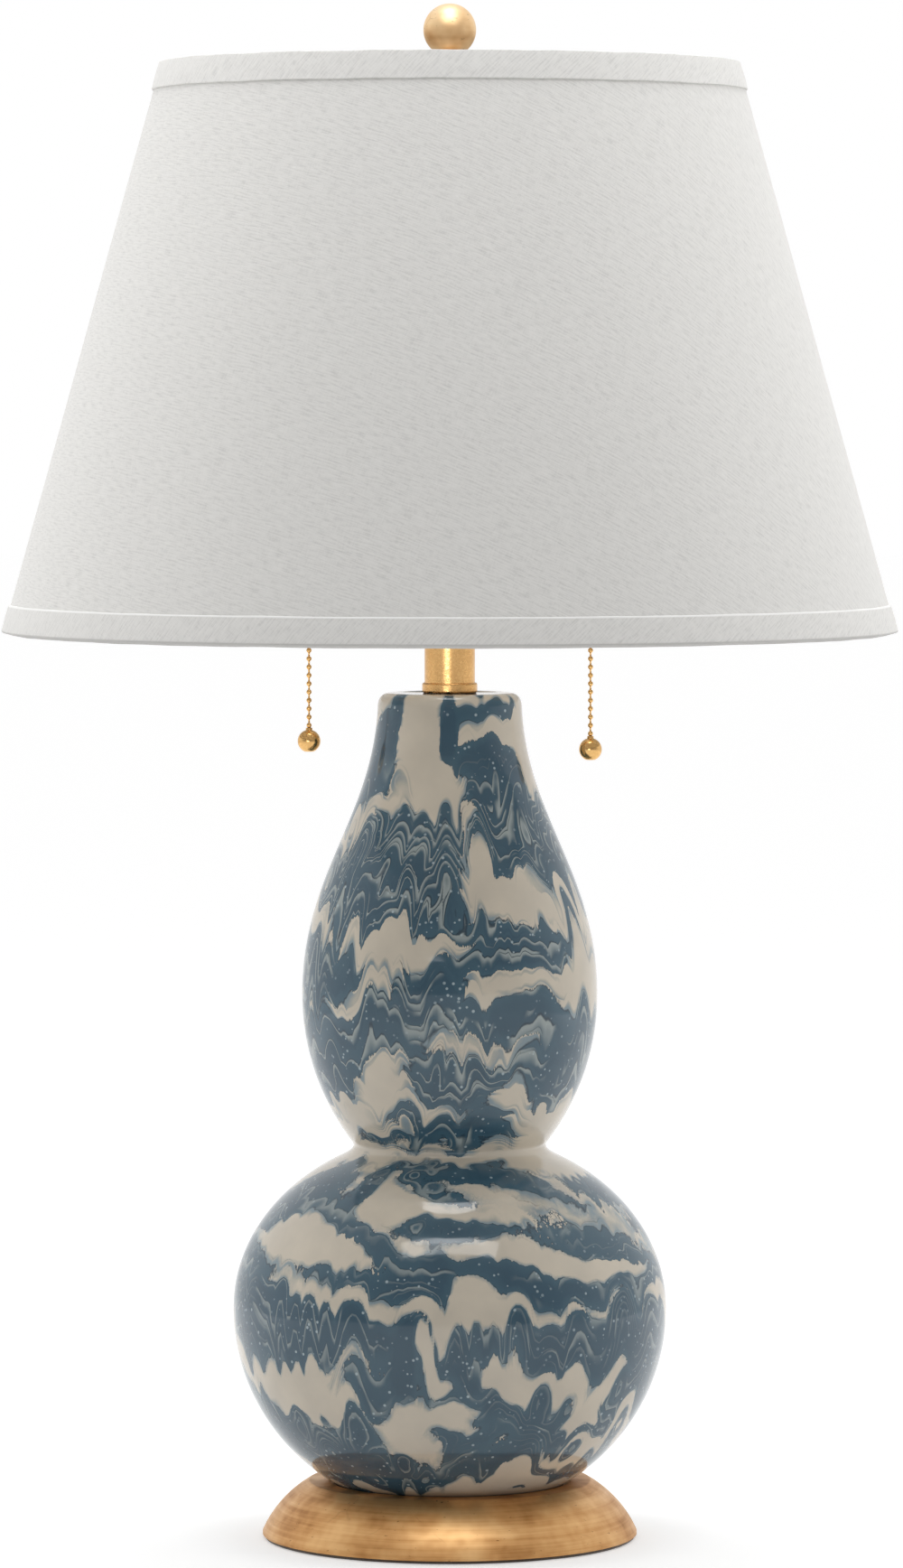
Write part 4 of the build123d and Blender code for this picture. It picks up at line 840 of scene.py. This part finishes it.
for side, hand in (("left", -1), ("right", 1)):
    screwCap = lathe(side + "_screw_cap", capOutline(), cap["sides"], bend=threadBend)
    screwCap.data.transform(Matrix.Rotation(hand * math.pi / 2, 4, "Y"))
    screwCap.data.transform(Matrix.Translation((0.0, 0.0, cap["axis"])))
    dress(screwCap, side + "_bulb_base", "bulb_metal", side + "_bulb_cap")
print("screw caps rolled")


# felt under the foot
felt = {"radius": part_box("felt_pad")[1].x, "thickness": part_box("felt_pad")[1].z, "round": 0.0005,
        "sides": 180, "fuzz": 0.00015, "fuzzFrom": 0.08, "fuzzGrain": 90.0, "fuzzRise": 3000.0}


def feltBend(radius, height, turn):  # the cut edge is fuzzy
    if radius > felt["fuzzFrom"]:
        grain, rise = felt["fuzzGrain"], felt["fuzzRise"]
        spot = Vector((grain * math.cos(turn), grain * math.sin(turn), rise * height))
        radius += felt["fuzz"] * noise.noise(spot)
    return radius, height


def feltOutline():
    rim, top = felt["radius"] - felt["round"], felt["thickness"]
    line = [(0.0, 0.0), (felt["radius"] / 2, 0.0)]
    line += arc((rim, felt["round"]), felt["round"], -90, 0, count=5)
    line += arc((rim, top - felt["round"]), felt["round"], 0, 90, count=5)
    return line + [(felt["radius"] / 2, top), (0.0, top)]


dress(lathe("felt_disc", feltOutline(), felt["sides"], bend=feltBend), "lamp", "felt", "felt_pad")
print("felt cut")


# shade
linen = {"thickness": 0.0006, "rows": 60, "sides": 480, "wave": 0.00012, "waveGrain": 6.0, "waveRise": 14.0,
         "seamTurn": math.pi, "seamWidth": 0.011, "seamRise": 0.0007, "seamEdge": 0.0008}
tape = {"thickness": 0.0010, "width": 0.012, "tuck": 0.0045, "tuckDepth": 0.0043, "corner": 0.00045,
        "hem": (0.0002, 0.00003), "face": (0.0012, 0.0010), "faceRows": 10, "turnRows": 6, "swell": 0.0001,
        "lift": 0.00002,  # how far its back stands off the linen
        "pucker": 0.00012, "puckerGrain": 60.0, "puckerRise": 300.0, "wave": 0.00025, "waveGrain": 9.0,
        "spokes": (60.0, 180.0, 300.0), "notch": 0.0026, "snipEdge": 0.0006, "snipInside": 0.002}
tapeRows = (  # piece, node, whether it is at the top, roundness of its outer edge, seed and sides
    ("bottom_tape", "bottom_trim", False, 0.0009, 11.0, 360),
    ("top_tape", "top_trim", True, 0.0004, 29.0, 720),
)


def onSlope(along, out):  # a point given up the slope and out from it, as (radius, height)
    c = cone
    return (c["footRadius"] - along * c["sine"] + out * c["cosine"],
            c["foot"] + along * c["cosine"] + out * c["sine"])


def apart(turn, other):  # the angle between two directions
    return abs(math.remainder(turn - other, 2 * math.pi))


def linenBend(radius, height, turn):  # the lapped seam behind, and the slight unevenness of hand-laid cloth
    s = linen
    away = apart(turn, s["seamTurn"]) * radius
    lap = s["seamRise"] * clamped((s["seamWidth"] / 2 - away) / s["seamEdge"] + 0.5)
    return radius + lap + s["wave"] * rippled(turn, s["waveGrain"], height * s["waveRise"]), height


def linenOutline():
    steps = [cone["slope"] * i / linen["rows"] for i in range(linen["rows"] + 1)]
    outside = [onSlope(along, 0.0) for along in steps]
    return outside + [onSlope(along, -linen["thickness"]) for along in reversed(steps)]


def tapeOutline(top, edge):  # the folded tape in section, round the shade's edge from outside to inside
    s = tape
    w, t, d = s["width"], s["thickness"], s["tuckDepth"]
    tuck, corner = s["tuck"], s["corner"]
    hemInset, hemLift = s["hem"]
    faceStart, faceEnd = w - s["face"][0], s["face"][1]
    line = [(w - hemInset, hemLift)] + arc((w - edge, t - edge), edge, 0, 90, count=6)
    line += [(faceStart + (faceEnd - faceStart) * share, t + s["swell"] * math.sin(math.pi * share))
             for share in np.linspace(0, 1, s["faceRows"] + 1)]
    line += arc((corner - t, t - corner), corner, 90, 180, count=5)
    line += [(-t, -d * i / s["turnRows"]) for i in range(1, s["turnRows"])]
    line += [(corner - t, -d - t), (tuck / 2, -d - t), (tuck, -d - t), (tuck, -d), (tuck / 2, -d)]
    line += [(0.0, -d), (0.0, -d / 2), (0.0, 0.0), (w / 2, s["lift"])]
    start, way = (cone["slope"], -1) if top else (0.0, 1)
    return [onSlope(start + way * along, out) for along, out in line]


def tapeBend(top, seed):  # slight waves and puckers, and the top hem is snipped where a spoke passes
    s = tape
    rim = onSlope(cone["slope"], -s["tuckDepth"])[1]

    def bend(radius, height, turn):
        if top and radius < cone["topRadius"] - s["snipInside"]:
            away = min(apart(turn, math.radians(spoke)) for spoke in s["spokes"]) * radius
            snip = clamped((s["notch"] - away) / s["snipEdge"] + 0.5)
            height = max(height, height + snip * (rim - height))
        pucker = s["pucker"] * rippled(turn, s["puckerGrain"], height * s["puckerRise"] + seed)
        return radius + pucker, height + s["wave"] * rippled(turn, s["waveGrain"], seed)

    return bend


linenPiece = lathe("linen_cover", linenOutline(), linen["sides"], closed=True, bend=linenBend)
dress(linenPiece, "shade", "linen", "shade_linen")
for name, node, top, edge, seed, sides in tapeRows:
    piece = lathe(name, tapeOutline(top, edge), sides, closed=True, bend=tapeBend(top, seed))
    dress(piece, "shade", "trim", node)
print("shade covered")
